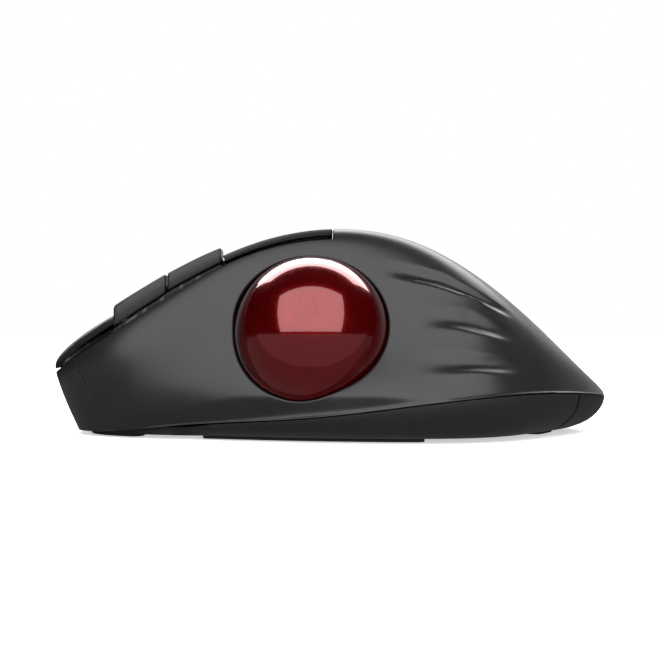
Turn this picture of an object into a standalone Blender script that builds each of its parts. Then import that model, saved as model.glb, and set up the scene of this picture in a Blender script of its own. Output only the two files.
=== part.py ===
"""Thumb-operated trackball mouse, right-handed, as an assembly of separate pieces.

Frame: the nose points to -X, the palm and tail to +X, the thumb and its ball to -Y, +Z up.  The
origin is the middle of the footprint box, on the desk.  Sizes below are in millimetres.

The outside of the mouse is one smooth body surface.  Closed rings of points run round it at the
base seam, the middle of the wall and the shoulder edge, and a crest line runs over the top.  Panels
(shell, caps, plates, tray, buttons) are cut from that surface and given a thickness.
"""
import math

import bmesh
import bpy
import numpy as np
from mathutils import Matrix, Vector

MM = 0.001
GAP = 0.3

# --- Body rings: nose first, tail last; thumb side and pinky side share their end points ---------
TAIL_TIP = (66.4, -2.0, 8.9)
THUMB_SEAM = (
    (-60.2, -4, 1.0), (-57.5, -15, 1.0), (-49, -23.5, 1.6), (-35, -29.5, 3.2), (-18, -36.5, 4.6),
    (0, -43.0, 6.2), (20, -46.0, 8.8), (39, -41.5, 10.6), (56, -24, 10.3), TAIL_TIP)
THUMB_WALL = (
    (-63.2, -4, 7.5), (-60, -16.5, 8), (-51.5, -25.5, 10.5), (-38, -30.5, 15.5), (-21, -33.3, 20.5),
    (-3, -34.0, 24.5), (17, -36, 26.5), (36, -34, 23.5), (54, -20.5, 17), TAIL_TIP)
THUMB_EDGE = (
    (-65.6, -4, 14.2), (-62.5, -16.5, 15.8), (-54, -24.5, 20.8), (-40, -27.0, 29.6), (-23, -27.0, 39.4),
    (-3, -26.0, 44.8), (17, -26, 43.0), (35, -25, 34.2), (53, -15.5, 20.6), TAIL_TIP)
CREST = (
    (-66.4, -4, 16.2), (-63, -4.5, 19.9), (-54.5, -5, 25.7), (-40, -5.5, 32.2), (-23, -6, 38.5),
    (-3, -6, 43.5), (16, -6, 42.9), (34, -5.5, 35.2), (52.5, -4, 21.7), TAIL_TIP)
PINKY_EDGE = (
    (-65.6, -4, 14.2), (-62.5, 8.5, 15.8), (-54, 18.5, 20), (-40, 26.5, 25), (-23, 32, 29.5),
    (-3, 34, 32.5), (17, 33, 31), (35, 27, 25), (53, 13, 17), TAIL_TIP)
PINKY_WALL = (
    (-63.2, -4, 7.5), (-60, 10, 8), (-51.5, 22.5, 10.5), (-38, 32.5, 13.5), (-21, 40, 16.5),
    (-1, 44, 18.5), (19, 43.5, 18.5), (38, 35, 16), (55, 18, 13), TAIL_TIP)
PINKY_SEAM = (
    (-60.2, -4, 1.0), (-57.5, 8, 1.0), (-49, 20.5, 2), (-35, 32.5, 3.8), (-18, 42.5, 5.2),
    (1, 48.5, 6.2), (21, 48.5, 7.6), (40, 39.5, 9), (56.5, 19.5, 9.4), TAIL_TIP)
STATIONS = (0, 12, 24, 40, 59, 80, 100, 121, 146, 172)
GIRTHS = (0, 20, 40, 65, 90, 110, 130)
TAIL_END = STATIONS[-1]
RING = 2 * TAIL_END
T_SEAM, T_EDGE, T_CREST, T_FAR_EDGE, T_FAR_SEAM = 0, 40, 65, 90, 130

# --- Base ---------------------------------------------------------------------------------------
BASE_TUCK = (1.5, 2.2, 3.5, 5, 6.5, 8.5, 9.5, 10, 11, 12)
BASE_Z = 0.8
BASE_WALL = 2.0
TAIL_CAP_FROM = 142.0
TAIL_CAP_THICK = 1.7

# --- Shells and plates --------------------------------------------------------------------------
SHELL_THICK = 2.0
TAIL_TRIM = 6.0
PLATE_THICK = 1.5
PLATE_GAP = 1.6
NOSE_CAP_TO = 21.0
NOSE_LEAN, LEAN_TO = 4.0, 45.0
PLATE_FROM = 7.0
PLATE_TO = 83.4
RIGHT_PLATE_FROM = 9.0
SIDE_A = (30.1, 43.4)
SIDE_B = (43.9, 57.4)
SIDE_SWITCHES = ((34.0, 40.0), (48.0, 54.0))
SIDE_WIDTH = 8.0
SIDE_RISE, SIDE_FALL = 2.3, 1.3
SIDE_SINK = 1.3
TRAY_LIFTS = (-3.4, -4.4)
BRACKET_LIFTS = (-2.15, -3.0)
DECK_FILL = (1.0, 0.8)
BOARD_LIFTS = (-12.0, -13.2)
STRIP_Y = (-10.4, 1.4)

# --- Ball, wheel and their supports --------------------------------------------------------------
BALL = Vector((-4.0, -32.0, 23.8))
BALL_R = 17.0
BALL_OPENING = (-4.3, 25.8)
BALL_OPENING_RADII = (17.7, 15.9)
CUP_INNER, CUP_OUTER = 17.8, 20.5
CUP_PLANE_Y = -22.0
BEARING_R = 1.3
LENS_AIM = Vector((0, 0.8, -0.6))
WHEEL = Vector((-40.0, -4.5, 22.4))
WHEEL_R, WHEEL_WIDTH, TYRE_THICK = 10.0, 7.0, 2.2
AXLE_R = 0.9

# --- Underside ----------------------------------------------------------------------------------
FOOT_TOP = 0.65
DOOR_BOX = ((-20.0, 5.0), (34.0, 29.0))
BATTERY_R, BATTERY_LEN = 7.15, 48.0
BATTERY_AT = Vector((7.0, 20.5, 11.4))
BAY_WALLS = ((-22.0, -19.9), (33.05, 35.5))
BAY_WALL_Y, BAY_WALL_Z = (13.0, 28.0), (2.72, 15.0)
SCREWS = ((-50.5, -13.0), (-50.5, 7.0), (42.0, -16.0), (42.0, 13.0))
SCREW_HEAD_R, SCREW_R, POST_R = 2.3, 1.1, 3.0
EJECT_HOLE = (-4.0, -25.5, 4.2)
POWER_AT = (-32.0, 6.0)
PAIR_AT = (-32.0, -7.0)

# --- Places on the body surface: stations along it, and lengthwise planes (y) ---------------------
PLATE_HINGE = (-3.0, 46.0)
LEFT_SWITCH = (53.0, -13.0)
RIGHT_SWITCH = (53.0, 9.0)
POST_WINDOW = (50.5, 55.5)
WHEEL_SLOT = (27.5, 44.5)
TRAY_SLOT = (24.8, 46.6)
SLOT_Y = (-8.8, -0.2)
DPI_AT = (60.0, 69.0)

BLACK = (0.012, 0.012, 0.013)
SATIN = (0.055, 0.055, 0.057)


# --- Smooth curves and the body surface ----------------------------------------------------------
def spline_weights(knots, samples, period=0.0):
    """Rows that turn values at the knots into a smooth (C2) curve's values at the samples."""
    knots = np.asarray(knots, float)
    samples = np.asarray(samples, float)
    count = len(knots)
    if period:
        samples = np.mod(samples, period)
        spans = np.diff(np.append(knots, knots[0] + period))
    else:
        spans = np.diff(knots)
    left = np.zeros((count, count))
    right = np.zeros((count, count))
    for i in range(count):
        if not period and i in (0, count - 1):
            j, k = (0, 1) if i == 0 else (count - 1, count - 2)
            span = spans[0] if i == 0 else -spans[-1]
            left[i, j], left[i, k] = 2, 1
            right[i, j], right[i, k] = -3 / span, 3 / span
            continue
        before, after = spans[i - 1], spans[i % len(spans)]
        nxt = (i + 1) % count
        left[i, i - 1] += after
        left[i, i] += 2 * (before + after)
        left[i, nxt] += before
        right[i, i - 1] -= 3 * after / before
        right[i, i] += 3 * (after / before - before / after)
        right[i, nxt] += 3 * before / after
    slopes = np.linalg.solve(left, right)
    cell = np.clip(np.searchsorted(knots, samples, side="right") - 1, 0, len(spans) - 1)
    span = spans[cell]
    f = (samples - knots[cell]) / span
    ends = np.eye(count)
    nxt = (cell + 1) % count
    shares = (2 * f**3 - 3 * f**2 + 1, 3 * f**2 - 2 * f**3, (f**3 - 2 * f**2 + f) * span, (f**3 - f**2) * span)
    rows = (ends[cell], ends[nxt], slopes[cell], slopes[nxt])
    return sum(share[:, None] * row for share, row in zip(shares, rows))


def ring_points(near, far):
    """One closed ring: thumb side from nose to tail, then the pinky side back to the nose."""
    return np.array(list(near) + list(far[-2:0:-1]), float)


RING_KNOTS = list(STATIONS) + [RING - s for s in STATIONS[-2:0:-1]]
SEAM_RING = ring_points(THUMB_SEAM, PINKY_SEAM)
RINGS = np.array([SEAM_RING, ring_points(THUMB_WALL, PINKY_WALL), ring_points(THUMB_EDGE, PINKY_EDGE),
                  ring_points(CREST, CREST)])


def body(s, t):
    """Points of the body surface at distances s along it and t round it (arrays of one shape)."""
    s, t = np.broadcast_arrays(np.asarray(s, float), np.asarray(t, float))
    near = spline_weights(RING_KNOTS, s.ravel(), RING)
    far = spline_weights(RING_KNOTS, RING - s.ravel(), RING)
    columns = [near @ RINGS[k] for k in range(4)] + [far @ RINGS[k] for k in (2, 1, 0)]
    across = spline_weights(GIRTHS, t.ravel())
    points = sum(across[:, k:k + 1] * columns[k] for k in range(7))
    return points.reshape(s.shape + (3,))


def leaned(s, t):
    """The body surface with its cross lines leaning back towards the desk beside the nose cap."""
    down = 1 - 2 * np.minimum(t, T_FAR_SEAM - t) / T_EDGE
    fade = np.clip((LEAN_TO - s) / (LEAN_TO - NOSE_CAP_TO), 0, 1)
    return body(s + NOSE_LEAN * down * fade, t)


def nose(u, v):
    """The wall round the nose: u below 0 is the thumb side, above 0 the pinky side."""
    u, v = np.broadcast_arrays(np.asarray(u, float), np.asarray(v, float))
    lean = 1 + NOSE_LEAN / NOSE_CAP_TO * (1 - 2 * v / T_EDGE)
    return body(np.abs(u) * lean, np.where(u <= 0, v, T_FAR_SEAM - v))


def deck(s, t):
    """The body surface with its thumb shoulder filled out level with the ridge, for what overhangs it."""
    s, t = np.broadcast_arrays(np.asarray(s, float), np.asarray(t, float))
    points = body(s, t)
    marks, row = np.unique(s.ravel(), return_inverse=True)
    girths = np.linspace(T_EDGE, T_CREST, 51)
    heights = body(marks[:, None], girths[None, :])[..., 2]
    level = heights.max(1)[row].reshape(s.shape)
    ridge = girths[heights.argmax(1)][row].reshape(s.shape)
    fill = DECK_FILL[0] + (DECK_FILL[1] - DECK_FILL[0]) * np.clip((s - 30) / 50, 0, 1)
    points[..., 2] += np.where(t < ridge, (level - points[..., 2]) * fill, 0)
    return points


def base_band(u, v):
    """The band of the base under the seam: u runs round the ring, v from the seam (0) to the desk (1)."""
    u, v = np.broadcast_arrays(np.asarray(u, float), np.asarray(v, float))
    weights = spline_weights(RING_KNOTS, u.ravel(), RING)
    seam = weights @ SEAM_RING
    step = spline_weights(RING_KNOTS, u.ravel() + 0.5, RING) @ SEAM_RING - seam
    inward = np.stack([step[:, 1], -step[:, 0]], 1)
    inward /= np.linalg.norm(inward, axis=1)[:, None]
    tuck = weights @ np.array(list(BASE_TUCK) + list(BASE_TUCK[-2:0:-1]))
    turn = v.ravel() * math.pi / 2
    plan = seam[:, :2] - inward * (tuck * (1 - np.cos(turn)))[:, None]
    z = seam[:, 2] - (seam[:, 2] - BASE_Z) * np.sin(turn)
    return np.column_stack([plan, z]).reshape(u.shape + (3,))


def normals(surface, u, v, step=0.05):
    """Unit normals of a surface, pointing out of the mouse."""
    across = surface(u + step, v) - surface(u - step, v)
    along = surface(u, v + step) - surface(u, v - step)
    n = np.cross(along, across)
    n /= np.maximum(np.linalg.norm(n, axis=-1), 1e-9)[..., None]
    outward = surface(u, v) - np.array((0, -4, 12))
    return n * np.where((n * outward).sum(-1) < 0, -1, 1)[..., None]


def girth_at(s, start, length):
    """The girth that lies a real length (mm) beyond girth start, at station s."""
    t = np.linspace(0, T_FAR_SEAM, 261)
    run = np.linalg.norm(np.diff(body(s, t), axis=0), axis=1)
    run = np.append(0, np.cumsum(run))
    return float(np.interp(np.interp(start, t, run) + length, run, t))


def girth_where(s, y):
    """The girth at which the section at station s reaches the lengthwise plane y."""
    t = np.linspace(T_EDGE, T_FAR_EDGE, 201)
    return float(np.interp(y, body(s, t)[:, 1], t))


def height_over(x, y):
    """The height of the body surface over a point of the plan."""
    s, t = np.meshgrid(np.linspace(5, TAIL_END - 5, 160), np.linspace(T_EDGE, T_FAR_EDGE, 100))
    points = body(s, t).reshape(-1, 3)
    return float(points[np.argmin(np.hypot(points[:, 0] - x, points[:, 1] - y)), 2])


# --- Making solids -------------------------------------------------------------------------------
def material(name, colour, roughness=0.5, metallic=0.0):
    """A Principled material, made once per name."""
    found = bpy.data.materials.get(name)
    if found:
        return found
    made = bpy.data.materials.new(name)
    made.use_nodes = True
    shader = made.node_tree.nodes["Principled BSDF"]
    shader.inputs["Base Color"].default_value = (*colour, 1)
    shader.inputs["Roughness"].default_value = roughness
    shader.inputs["Metallic"].default_value = metallic
    return made


def add_object(name, mesh, finish, origin=(0, 0, 0), smooth=35):
    """Link a mesh (points in mm, world places) as an object whose origin is at the given point."""
    mesh.transform(Matrix.Translation(-Vector(origin)))
    mesh.transform(Matrix.Scale(MM, 4))
    mesh.shade_smooth()
    mesh.set_sharp_from_angle(angle=math.radians(smooth))
    thing = bpy.data.objects.new(name, mesh)
    thing.location = Vector(origin) * MM
    bpy.context.scene.collection.objects.link(thing)
    mesh.materials.append(material(name + "_finish", *finish))
    return thing


def from_bmesh(name, bm, finish, origin=(0, 0, 0)):
    """Turn a bmesh into a closed, outward-facing object."""
    bmesh.ops.remove_doubles(bm, verts=bm.verts, dist=0.002)
    bmesh.ops.recalc_face_normals(bm, faces=bm.faces)
    if bm.calc_volume(signed=True) < 0:
        bmesh.ops.reverse_faces(bm, faces=bm.faces)
    mesh = bpy.data.meshes.new(name)
    bm.to_mesh(mesh)
    bm.free()
    return add_object(name, mesh, finish, origin)


def panel(name, surface, lines_u, lines_v, lifts, finish, keep=None, origin=(0, 0, 0), level=()):
    """A piece of a surface as a solid: cells of a grid between an outer and an inner lift (mm).

    lines_v may be a list, or a function that gives the list at each u; an inner lift may be a
    function of u too.  The columns listed in level keep their thickness horizontal.
    """
    rows = [lines_v(u) if callable(lines_v) else lines_v for u in lines_u]
    v = np.array(rows, float)
    u = np.repeat(np.array(lines_u, float)[:, None], v.shape[1], 1)
    points = surface(u, v)
    out = normals(surface, u, v)
    for column in level:
        out[:, column, 2] = 0
        out[:, column] /= np.linalg.norm(out[:, column], axis=1)[:, None]
    count_u, count_v = u.shape
    bm = bmesh.new()
    layers = [[[bm.verts.new(points[i, j] + out[i, j] * (lift(lines_u[i]) if callable(lift) else lift))
                for j in range(count_v)] for i in range(count_u)] for lift in lifts]
    kept = {(i, j) for i in range(count_u - 1) for j in range(count_v - 1)
            if keep is None or keep(lines_u[i] + lines_u[i + 1], i, j)}
    for i, j in kept:
        corners = ((i, j), (i + 1, j), (i + 1, j + 1), (i, j + 1))
        bm.faces.new([layers[0][a][b] for a, b in corners])
        bm.faces.new([layers[1][a][b] for a, b in reversed(corners)])
        steps = ((i, j - 1), (i + 1, j), (i, j + 1), (i - 1, j))
        for (a, b), (c, d), beyond in zip(corners, corners[1:] + corners[:1], steps):
            if beyond not in kept:
                bm.faces.new([layers[0][a][b], layers[1][a][b], layers[1][c][d], layers[0][c][d]])
    loose = [vert for vert in bm.verts if not vert.link_faces]
    bmesh.ops.delete(bm, geom=loose, context="VERTS")
    return from_bmesh(name, bm, finish, origin)


def block(bm, low, high, frame=Matrix.Identity(4), round_by=0.0):
    """Add a box between two corners, in a local frame, with its edges bevelled."""
    made = bmesh.ops.create_cube(bm, size=1.0)["verts"]
    low, high = Vector(low), Vector(high)
    scale = Matrix.Diagonal((*(high - low), 1))
    bmesh.ops.transform(bm, matrix=frame @ Matrix.Translation((low + high) / 2) @ scale, verts=made)
    if round_by:
        edges = list({edge for vert in made for edge in vert.link_edges})
        bmesh.ops.bevel(bm, geom=edges, offset=round_by, segments=1, affect="EDGES")


def rod(bm, centre, axis, radius, length, sides=20, far_radius=None):
    """Add a cylinder or cone about an axis through its centre."""
    turn = Vector(axis).normalized().to_track_quat("Z", "Y").to_matrix().to_4x4()
    bmesh.ops.create_cone(bm, cap_ends=True, segments=sides, radius1=radius,
                          radius2=radius if far_radius is None else far_radius, depth=length,
                          matrix=Matrix.Translation(centre) @ turn)


def box_piece(name, low, high, finish, frame=Matrix.Identity(4), round_by=0.3, origin=(0, 0, 0)):
    """A bevelled box as one piece."""
    bm = bmesh.new()
    block(bm, low, high, frame, round_by)
    return from_bmesh(name, bm, finish, origin)


def rod_piece(name, centre, axis, radius, length, finish, sides=20, origin=(0, 0, 0)):
    """A cylinder as one piece."""
    bm = bmesh.new()
    rod(bm, centre, axis, radius, length, sides)
    return from_bmesh(name, bm, finish, origin)


def tool(make):
    """A hidden cutting or joining body, filled in by the function make."""
    bm = bmesh.new()
    make(bm)
    bmesh.ops.recalc_face_normals(bm, faces=bm.faces)
    mesh = bpy.data.meshes.new("tool")
    bm.to_mesh(mesh)
    bm.free()
    mesh.transform(Matrix.Scale(MM, 4))
    thing = bpy.data.objects.new("tool", mesh)
    bpy.context.scene.collection.objects.link(thing)
    return thing


def carve(target, make, operation="DIFFERENCE"):
    """Cut a body out of a piece, or join one to it, and apply the result."""
    cutter = tool(make)
    step = target.modifiers.new("carve", "BOOLEAN")
    step.operation = operation
    step.solver = "EXACT"
    step.object = cutter
    bpy.context.view_layer.update()
    result = bpy.data.meshes.new_from_object(target.evaluated_get(bpy.context.evaluated_depsgraph_get()))
    target.modifiers.remove(step)
    target.data = result
    bpy.data.objects.remove(cutter)


def surface_frame(s, t):
    """A local frame on the body surface: x along the mouse, z out of it."""
    at = Vector(body(s, t))
    out = Vector(normals(body, np.array(float(s)), np.array(float(t))))
    along = Vector(body(s + 0.5, t)) - Vector(body(s - 0.5, t))
    along = (along - out * along.dot(out)).normalized()
    side = out.cross(along)
    turn = Matrix((along, side, out)).transposed().to_4x4()
    return Matrix.Translation(at) @ turn


def spaced(start, end, count):
    """Evenly spaced values, both ends included."""
    return [float(x) for x in np.linspace(start, end, count)]


# --- The shells ----------------------------------------------------------------------------------
def ball_opening(bm):
    """The ball's way through the thumb wall: an oval bore, and the room that the ball itself needs."""
    made = bmesh.ops.create_cone(bm, cap_ends=True, segments=44, radius1=1, radius2=1, depth=34)["verts"]
    turn = Matrix.Rotation(math.pi / 2, 4, "X")
    scale = Matrix.Diagonal((BALL_OPENING_RADII[0], 1, BALL_OPENING_RADII[1], 1))
    place = Matrix.Translation((BALL_OPENING[0], BALL.y - 4, BALL_OPENING[1]))
    bmesh.ops.transform(bm, matrix=place @ scale @ turn, verts=made)


def ball_room(bm):
    """A sphere a little larger than the ball."""
    bmesh.ops.create_uvsphere(bm, u_segments=40, v_segments=20, radius=BALL_R + 0.5,
                              matrix=Matrix.Translation(BALL))


def screw_posts(bm, spots, clear, low=5.0):
    """Posts for the screws, from a little above the floor up to a depth under the body surface."""
    for x, y in spots:
        top = min(height_over(x + dx, y + dy) for dx in (-POST_R, 0, POST_R) for dy in (-POST_R, 0, POST_R))
        top -= clear
        rod(bm, (x, y, (low + top) / 2), (0, 0, 1), POST_R, top - low, 14)


def screw_bores(bm, spots):
    """Blind bores in the posts."""
    for x, y in spots:
        rod(bm, (x, y, 5.5), (0, 0, 1), SCREW_R + GAP, 8, 14)


def base_tray():
    """The base: a flat floor with a slanted band up to the seam, drawn in under the two end caps."""
    u = np.array(spaced(0, RING, 61)[:-1])
    seam = base_band(u, np.zeros(len(u)))
    inward = -normals(base_band, u, np.full(len(u), 0.5), 0.02)[:, :2]
    inward /= np.linalg.norm(inward, axis=1)[:, None]
    free = np.clip((seam[:, 2] - 3.2) / 0.8, 0, 1)
    under_tail = (u > TAIL_CAP_FROM) & (u < RING - TAIL_CAP_FROM)
    floor_top = BASE_Z + BASE_WALL
    footprint = base_band(u, np.ones(len(u)))[:, :2]
    loops = []
    for v in (0.0, 0.25, 0.5, 0.75, 1.0):
        band = base_band(u, np.full(len(u), v))
        out = normals(base_band, u, np.full(len(u), max(v, 0.05)), 0.02)
        plan = band[:, :2]
        inset = seam[:, :2] + inward * (SHELL_THICK + 0.9)
        plan = inset + (plan - inset) * free[:, None]
        flat_z = BASE_Z + (1 - v) * (BASE_WALL - 0.1)
        z = flat_z + (band[:, 2] - GAP * (v < 0.5) - flat_z) * free
        loop = np.column_stack([plan, z])
        if v > 0.5:
            shelf = seam[:, :2] + (footprint - seam[:, :2]) * 0.95
            shelf = np.column_stack([shelf, np.full(len(u), BASE_Z if v == 1 else floor_top + 0.45)])
        else:
            shelf = band - out * (TAIL_CAP_THICK + GAP) - (0, 0, 3 * GAP * (v == 0))
        loops.append(np.where(under_tail[:, None], shelf, loop))
    rim = loops[0].copy()
    rim[:, :2] += inward * BASE_WALL
    rim[:, 2] = np.maximum(rim[:, 2], floor_top + 0.3)
    floor = loops[-1].copy()
    floor[:, :2] += inward * BASE_WALL
    floor[:, 2] = floor_top
    bm = bmesh.new()
    rings = [[bm.verts.new(p) for p in loop] for loop in [floor, rim] + loops]
    for a, b in zip(rings, rings[1:]):
        for k in range(len(u)):
            bm.faces.new([a[k], a[(k + 1) % len(u)], b[(k + 1) % len(u)], b[k]])
    bm.faces.new(rings[-1])
    bm.faces.new(rings[0])
    return from_bmesh("base_shell", bm, (BLACK, 0.5))


def tail_taper(s):
    """The inner face of the upper shell: its wall thins out to an edge at the tail."""
    return -SHELL_THICK * min(1.0, ((TAIL_END - s) / 18) ** 1.6)


def build_shells():
    """Upper shell with the ball opening, nose cap, base shell and tail cap."""
    stations = spaced(NOSE_CAP_TO + GAP, PLATE_TO + 0.5, 15) + spaced(PLATE_TO + 5, TAIL_END - TAIL_TRIM, 15)
    girths = spaced(T_SEAM, T_EDGE, 8) + spaced(T_EDGE + 5, T_FAR_EDGE - 5, 8) + spaced(T_FAR_EDGE, T_FAR_SEAM, 7)
    front = 2 * (PLATE_TO + 1)
    shell = panel("upper_shell", leaned, stations, girths, (0, tail_taper), (SATIN, 0.42),
                  keep=lambda both, i, j: both > front or j < 7 or j > 15, level=(0, -1))
    carve(shell, ball_opening)
    carve(shell, ball_room)
    carve(shell, lambda bm: screw_posts(bm, SCREWS[2:], 0.8), "UNION")
    carve(shell, lambda bm: screw_bores(bm, SCREWS[2:]))

    wrap = spaced(-NOSE_CAP_TO, 0, 9) + spaced(NOSE_CAP_TO / 8, NOSE_CAP_TO, 8)
    panel("nose_cap", nose, wrap, spaced(T_SEAM, T_EDGE, 7), (0, -SHELL_THICK), (SATIN, 0.45), level=(0,))

    base = base_tray()
    floor = (BASE_Z - 1, BASE_Z + BASE_WALL + 1)
    carve(base, lambda b: block(b, (*DOOR_BOX[0], floor[0]), (*DOOR_BOX[1], floor[1])))

    for x, y in SCREWS:
        carve(base, lambda b: rod(b, (x, y, 1.8), (0, 0, 1), SCREW_R + GAP, 4, 14))
        carve(base, lambda b: rod(b, (x, y, 0.7), (0, 0, 1), SCREW_HEAD_R + GAP, 2.9, 16))

    def windows(b):
        rod(b, (EJECT_HOLE[0], EJECT_HOLE[1], 1.8), (0, 0, 1), EJECT_HOLE[2], 6, 28)
        block(b, (POWER_AT[0] - 4.6, POWER_AT[1] - 2.1, -1), (POWER_AT[0] + 4.6, POWER_AT[1] + 2.1, 4))
        rod(b, (*PAIR_AT, 1.8), (0, 0, 1), 2.4, 6, 18)
    carve(base, windows)

    for x0, x1 in BAY_WALLS:
        corners = ((x0, BAY_WALL_Y[0], BAY_WALL_Z[0]), (x1, BAY_WALL_Y[1], BAY_WALL_Z[1]))
        carve(base, lambda b: block(b, *corners), "UNION")

    band = spaced(TAIL_CAP_FROM + 6, RING - TAIL_CAP_FROM - 6, 15)
    panel("tail_cap", base_band, band, spaced(0.05, 0.93, 6), (0, -TAIL_CAP_THICK), (BLACK, 0.5), level=(0,))


# --- Plates, strip, tray and boards ---------------------------------------------------------------
def edge_gap(s):
    """Where a plate starts, beyond the gap over the thumb wall."""
    return girth_at(s, T_EDGE, min(PLATE_GAP, 0.9 + s / 10))


def far_gap(s):
    """Where a plate ends, before the gap over the pinky wall."""
    return T_FAR_SEAM - edge_gap_far(s)


def edge_gap_far(s):
    """The pinky-side gap, counted from the pinky seam."""
    t = np.linspace(T_CREST, T_FAR_EDGE, 120)
    run = np.append(0, np.cumsum(np.linalg.norm(np.diff(body(s, t), axis=0), axis=1)))
    return T_FAR_SEAM - float(np.interp(run[-1] - min(PLATE_GAP, 0.9 + s / 10), run, t))


def notch(s):
    """Where the left plate starts beside the raised side buttons."""
    return girth_at(s, T_EDGE, PLATE_GAP + SIDE_WIDTH + 0.4)


def build_plates():
    """The left and right button plates, the centre strip and the tray under them."""
    before, beside = spaced(PLATE_FROM, SIDE_A[0] - 0.4, 9), spaced(SIDE_A[0] + 3, SIDE_B[1] + 0.4, 7)
    marks = before + beside + spaced(SIDE_B[1] + 4, PLATE_TO, 7)
    first, last = len(before) - 1, len(before) + len(beside) - 1

    def left_lines(s):
        inner = max(notch(s), edge_gap(s) + 0.5)
        end = girth_where(s, STRIP_Y[0] - 1.5 * GAP)
        inner = min(inner, 0.6 * edge_gap(s) + 0.4 * end) if s < SIDE_A[0] - 1 else inner
        return spaced(edge_gap(s), inner, 4) + spaced(inner, end, 6)[1:]

    hinge = (PLATE_HINGE[0], STRIP_Y[0] - 6, PLATE_HINGE[1])
    left = panel("left_button", deck, marks, left_lines, (0, -PLATE_THICK), (SATIN, 0.4),
                 keep=lambda both, i, j: not (first <= i < last and j < 3), origin=hinge)
    right_marks = spaced(RIGHT_PLATE_FROM, PLATE_TO, 17)
    right = panel("right_button", body, right_marks,
                  lambda s: spaced(girth_where(s, STRIP_Y[1] + 1.5 * GAP), far_gap(s), 9),
                  (0, -PLATE_THICK), (SATIN, 0.4), origin=(PLATE_HINGE[0], 14, PLATE_HINGE[1]))
    for plate, (s, y) in ((left, LEFT_SWITCH), (right, RIGHT_SWITCH)):
        frame = surface_frame(s, girth_where(s, y))
        carve(plate, lambda bm: block(bm, (-1, -1, -5.2), (1, 1, -0.8), frame), "UNION")

    strip_marks = (spaced(1.5, 24, 9) + [WHEEL_SLOT[0]] + spaced(31, 41, 3) + [WHEEL_SLOT[1], 52]
                   + list(DPI_AT) + spaced(74, PLATE_TO, 2))
    slot = (strip_marks.index(WHEEL_SLOT[0]), strip_marks.index(WHEEL_SLOT[1]))
    dpi = strip_marks.index(DPI_AT[0])

    def strip_lines(s):
        low, high = max(edge_gap(s), girth_where(s, STRIP_Y[0])), min(far_gap(s), girth_where(s, STRIP_Y[1]))
        if s < 12:
            return spaced(low, high, 6)
        return [low, girth_where(s, SLOT_Y[0]), girth_where(s, -6.2), girth_where(s, -2.8),
                girth_where(s, SLOT_Y[1]), high]

    def strip_keep(_, i, j):
        return not (slot[0] <= i < slot[1] and 0 < j < 4) and not (i == dpi and 0 < j < 4)

    panel("centre_strip", body, strip_marks, strip_lines, (-0.1, -PLATE_THICK), (BLACK, 0.3), keep=strip_keep)
    build_tray()


def build_tray():
    """The black tray under the plates, with windows for the wheel and the switch posts."""
    marks = (spaced(8, 20, 4) + [TRAY_SLOT[0]] + spaced(30, 41, 3) + [TRAY_SLOT[1], *POST_WINDOW]
             + spaced(64, PLATE_TO - 1, 4))
    first, last = marks.index(TRAY_SLOT[0]), marks.index(TRAY_SLOT[1])

    def lines(s):
        ys = (LEFT_SWITCH[1] - 2, LEFT_SWITCH[1] + 2, SLOT_Y[0] - GAP, SLOT_Y[1] + GAP,
              RIGHT_SWITCH[1] - 2, RIGHT_SWITCH[1] + 2)
        low, high = girth_at(s, T_EDGE, 1.0), far_gap(s)
        if s < TRAY_SLOT[0]:
            return spaced(low, high, len(ys) + 2)
        return [low] + [girth_where(s, y) for y in ys] + [high]

    def keep(_, i, j):
        return not (first <= i < last and j == 3) and not (marks[i] == POST_WINDOW[0] and j in (1, 5))

    tray = panel("button_tray", body, marks, lines, TRAY_LIFTS, (BLACK, 0.6), keep=keep)
    carve(tray, lambda bm: screw_posts(bm, SCREWS[:2], 3.8), "UNION")
    carve(tray, lambda bm: screw_bores(bm, SCREWS[:2]))


# --- Side buttons, boards and switches ------------------------------------------------------------
def side_rise(s):
    """How far a side button stands above the plates: less towards its rear."""
    return SIDE_RISE - (SIDE_RISE - SIDE_FALL) * (s - SIDE_A[0]) / (SIDE_B[1] - SIDE_A[0])


def build_side_buttons():
    """The two raised side buttons, the carrier under them and its switches."""
    def lines(s):
        return spaced(girth_at(s, T_EDGE, PLATE_GAP), girth_at(s, T_EDGE, PLATE_GAP + SIDE_WIDTH), 6)

    for name, (start, end) in (("side_button_front", SIDE_A), ("side_button_rear", SIDE_B)):
        panel(name, deck, spaced(start, end, 6), lines, (side_rise, -SIDE_SINK), (SATIN, 0.35),
              origin=side_origin(start, end))
    front, rear = SIDE_SWITCHES
    marks = [SIDE_A[0], *front, SIDE_A[1], SIDE_B[0], *rear, SIDE_B[1]]
    steps = (2.3, 3.6, 7.6, 8.8)
    panel("side_button_bracket", deck, marks, lambda s: [girth_at(s, T_EDGE, d) for d in steps],
          BRACKET_LIFTS, (BLACK, 0.55), keep=lambda _, i, j: not (i in (1, 5) and j == 1))
    for name, (start, end) in (("side_switch_front", front), ("side_switch_rear", rear)):
        inner = (start + GAP, (start + end) / 2, end - GAP)
        panel(name, deck, inner, lambda s: [girth_at(s, T_EDGE, d) for d in (3.9, 5.6, 7.3)],
              (BRACKET_LIFTS[0] + 0.05, BRACKET_LIFTS[1] + 0.1), (BLACK, 0.4))


def side_origin(start, end):
    """The middle of a side button."""
    middle = (start + end) / 2
    return tuple(float(c) for c in deck(middle, girth_at(middle, T_EDGE, PLATE_GAP + SIDE_WIDTH / 2)))


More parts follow.
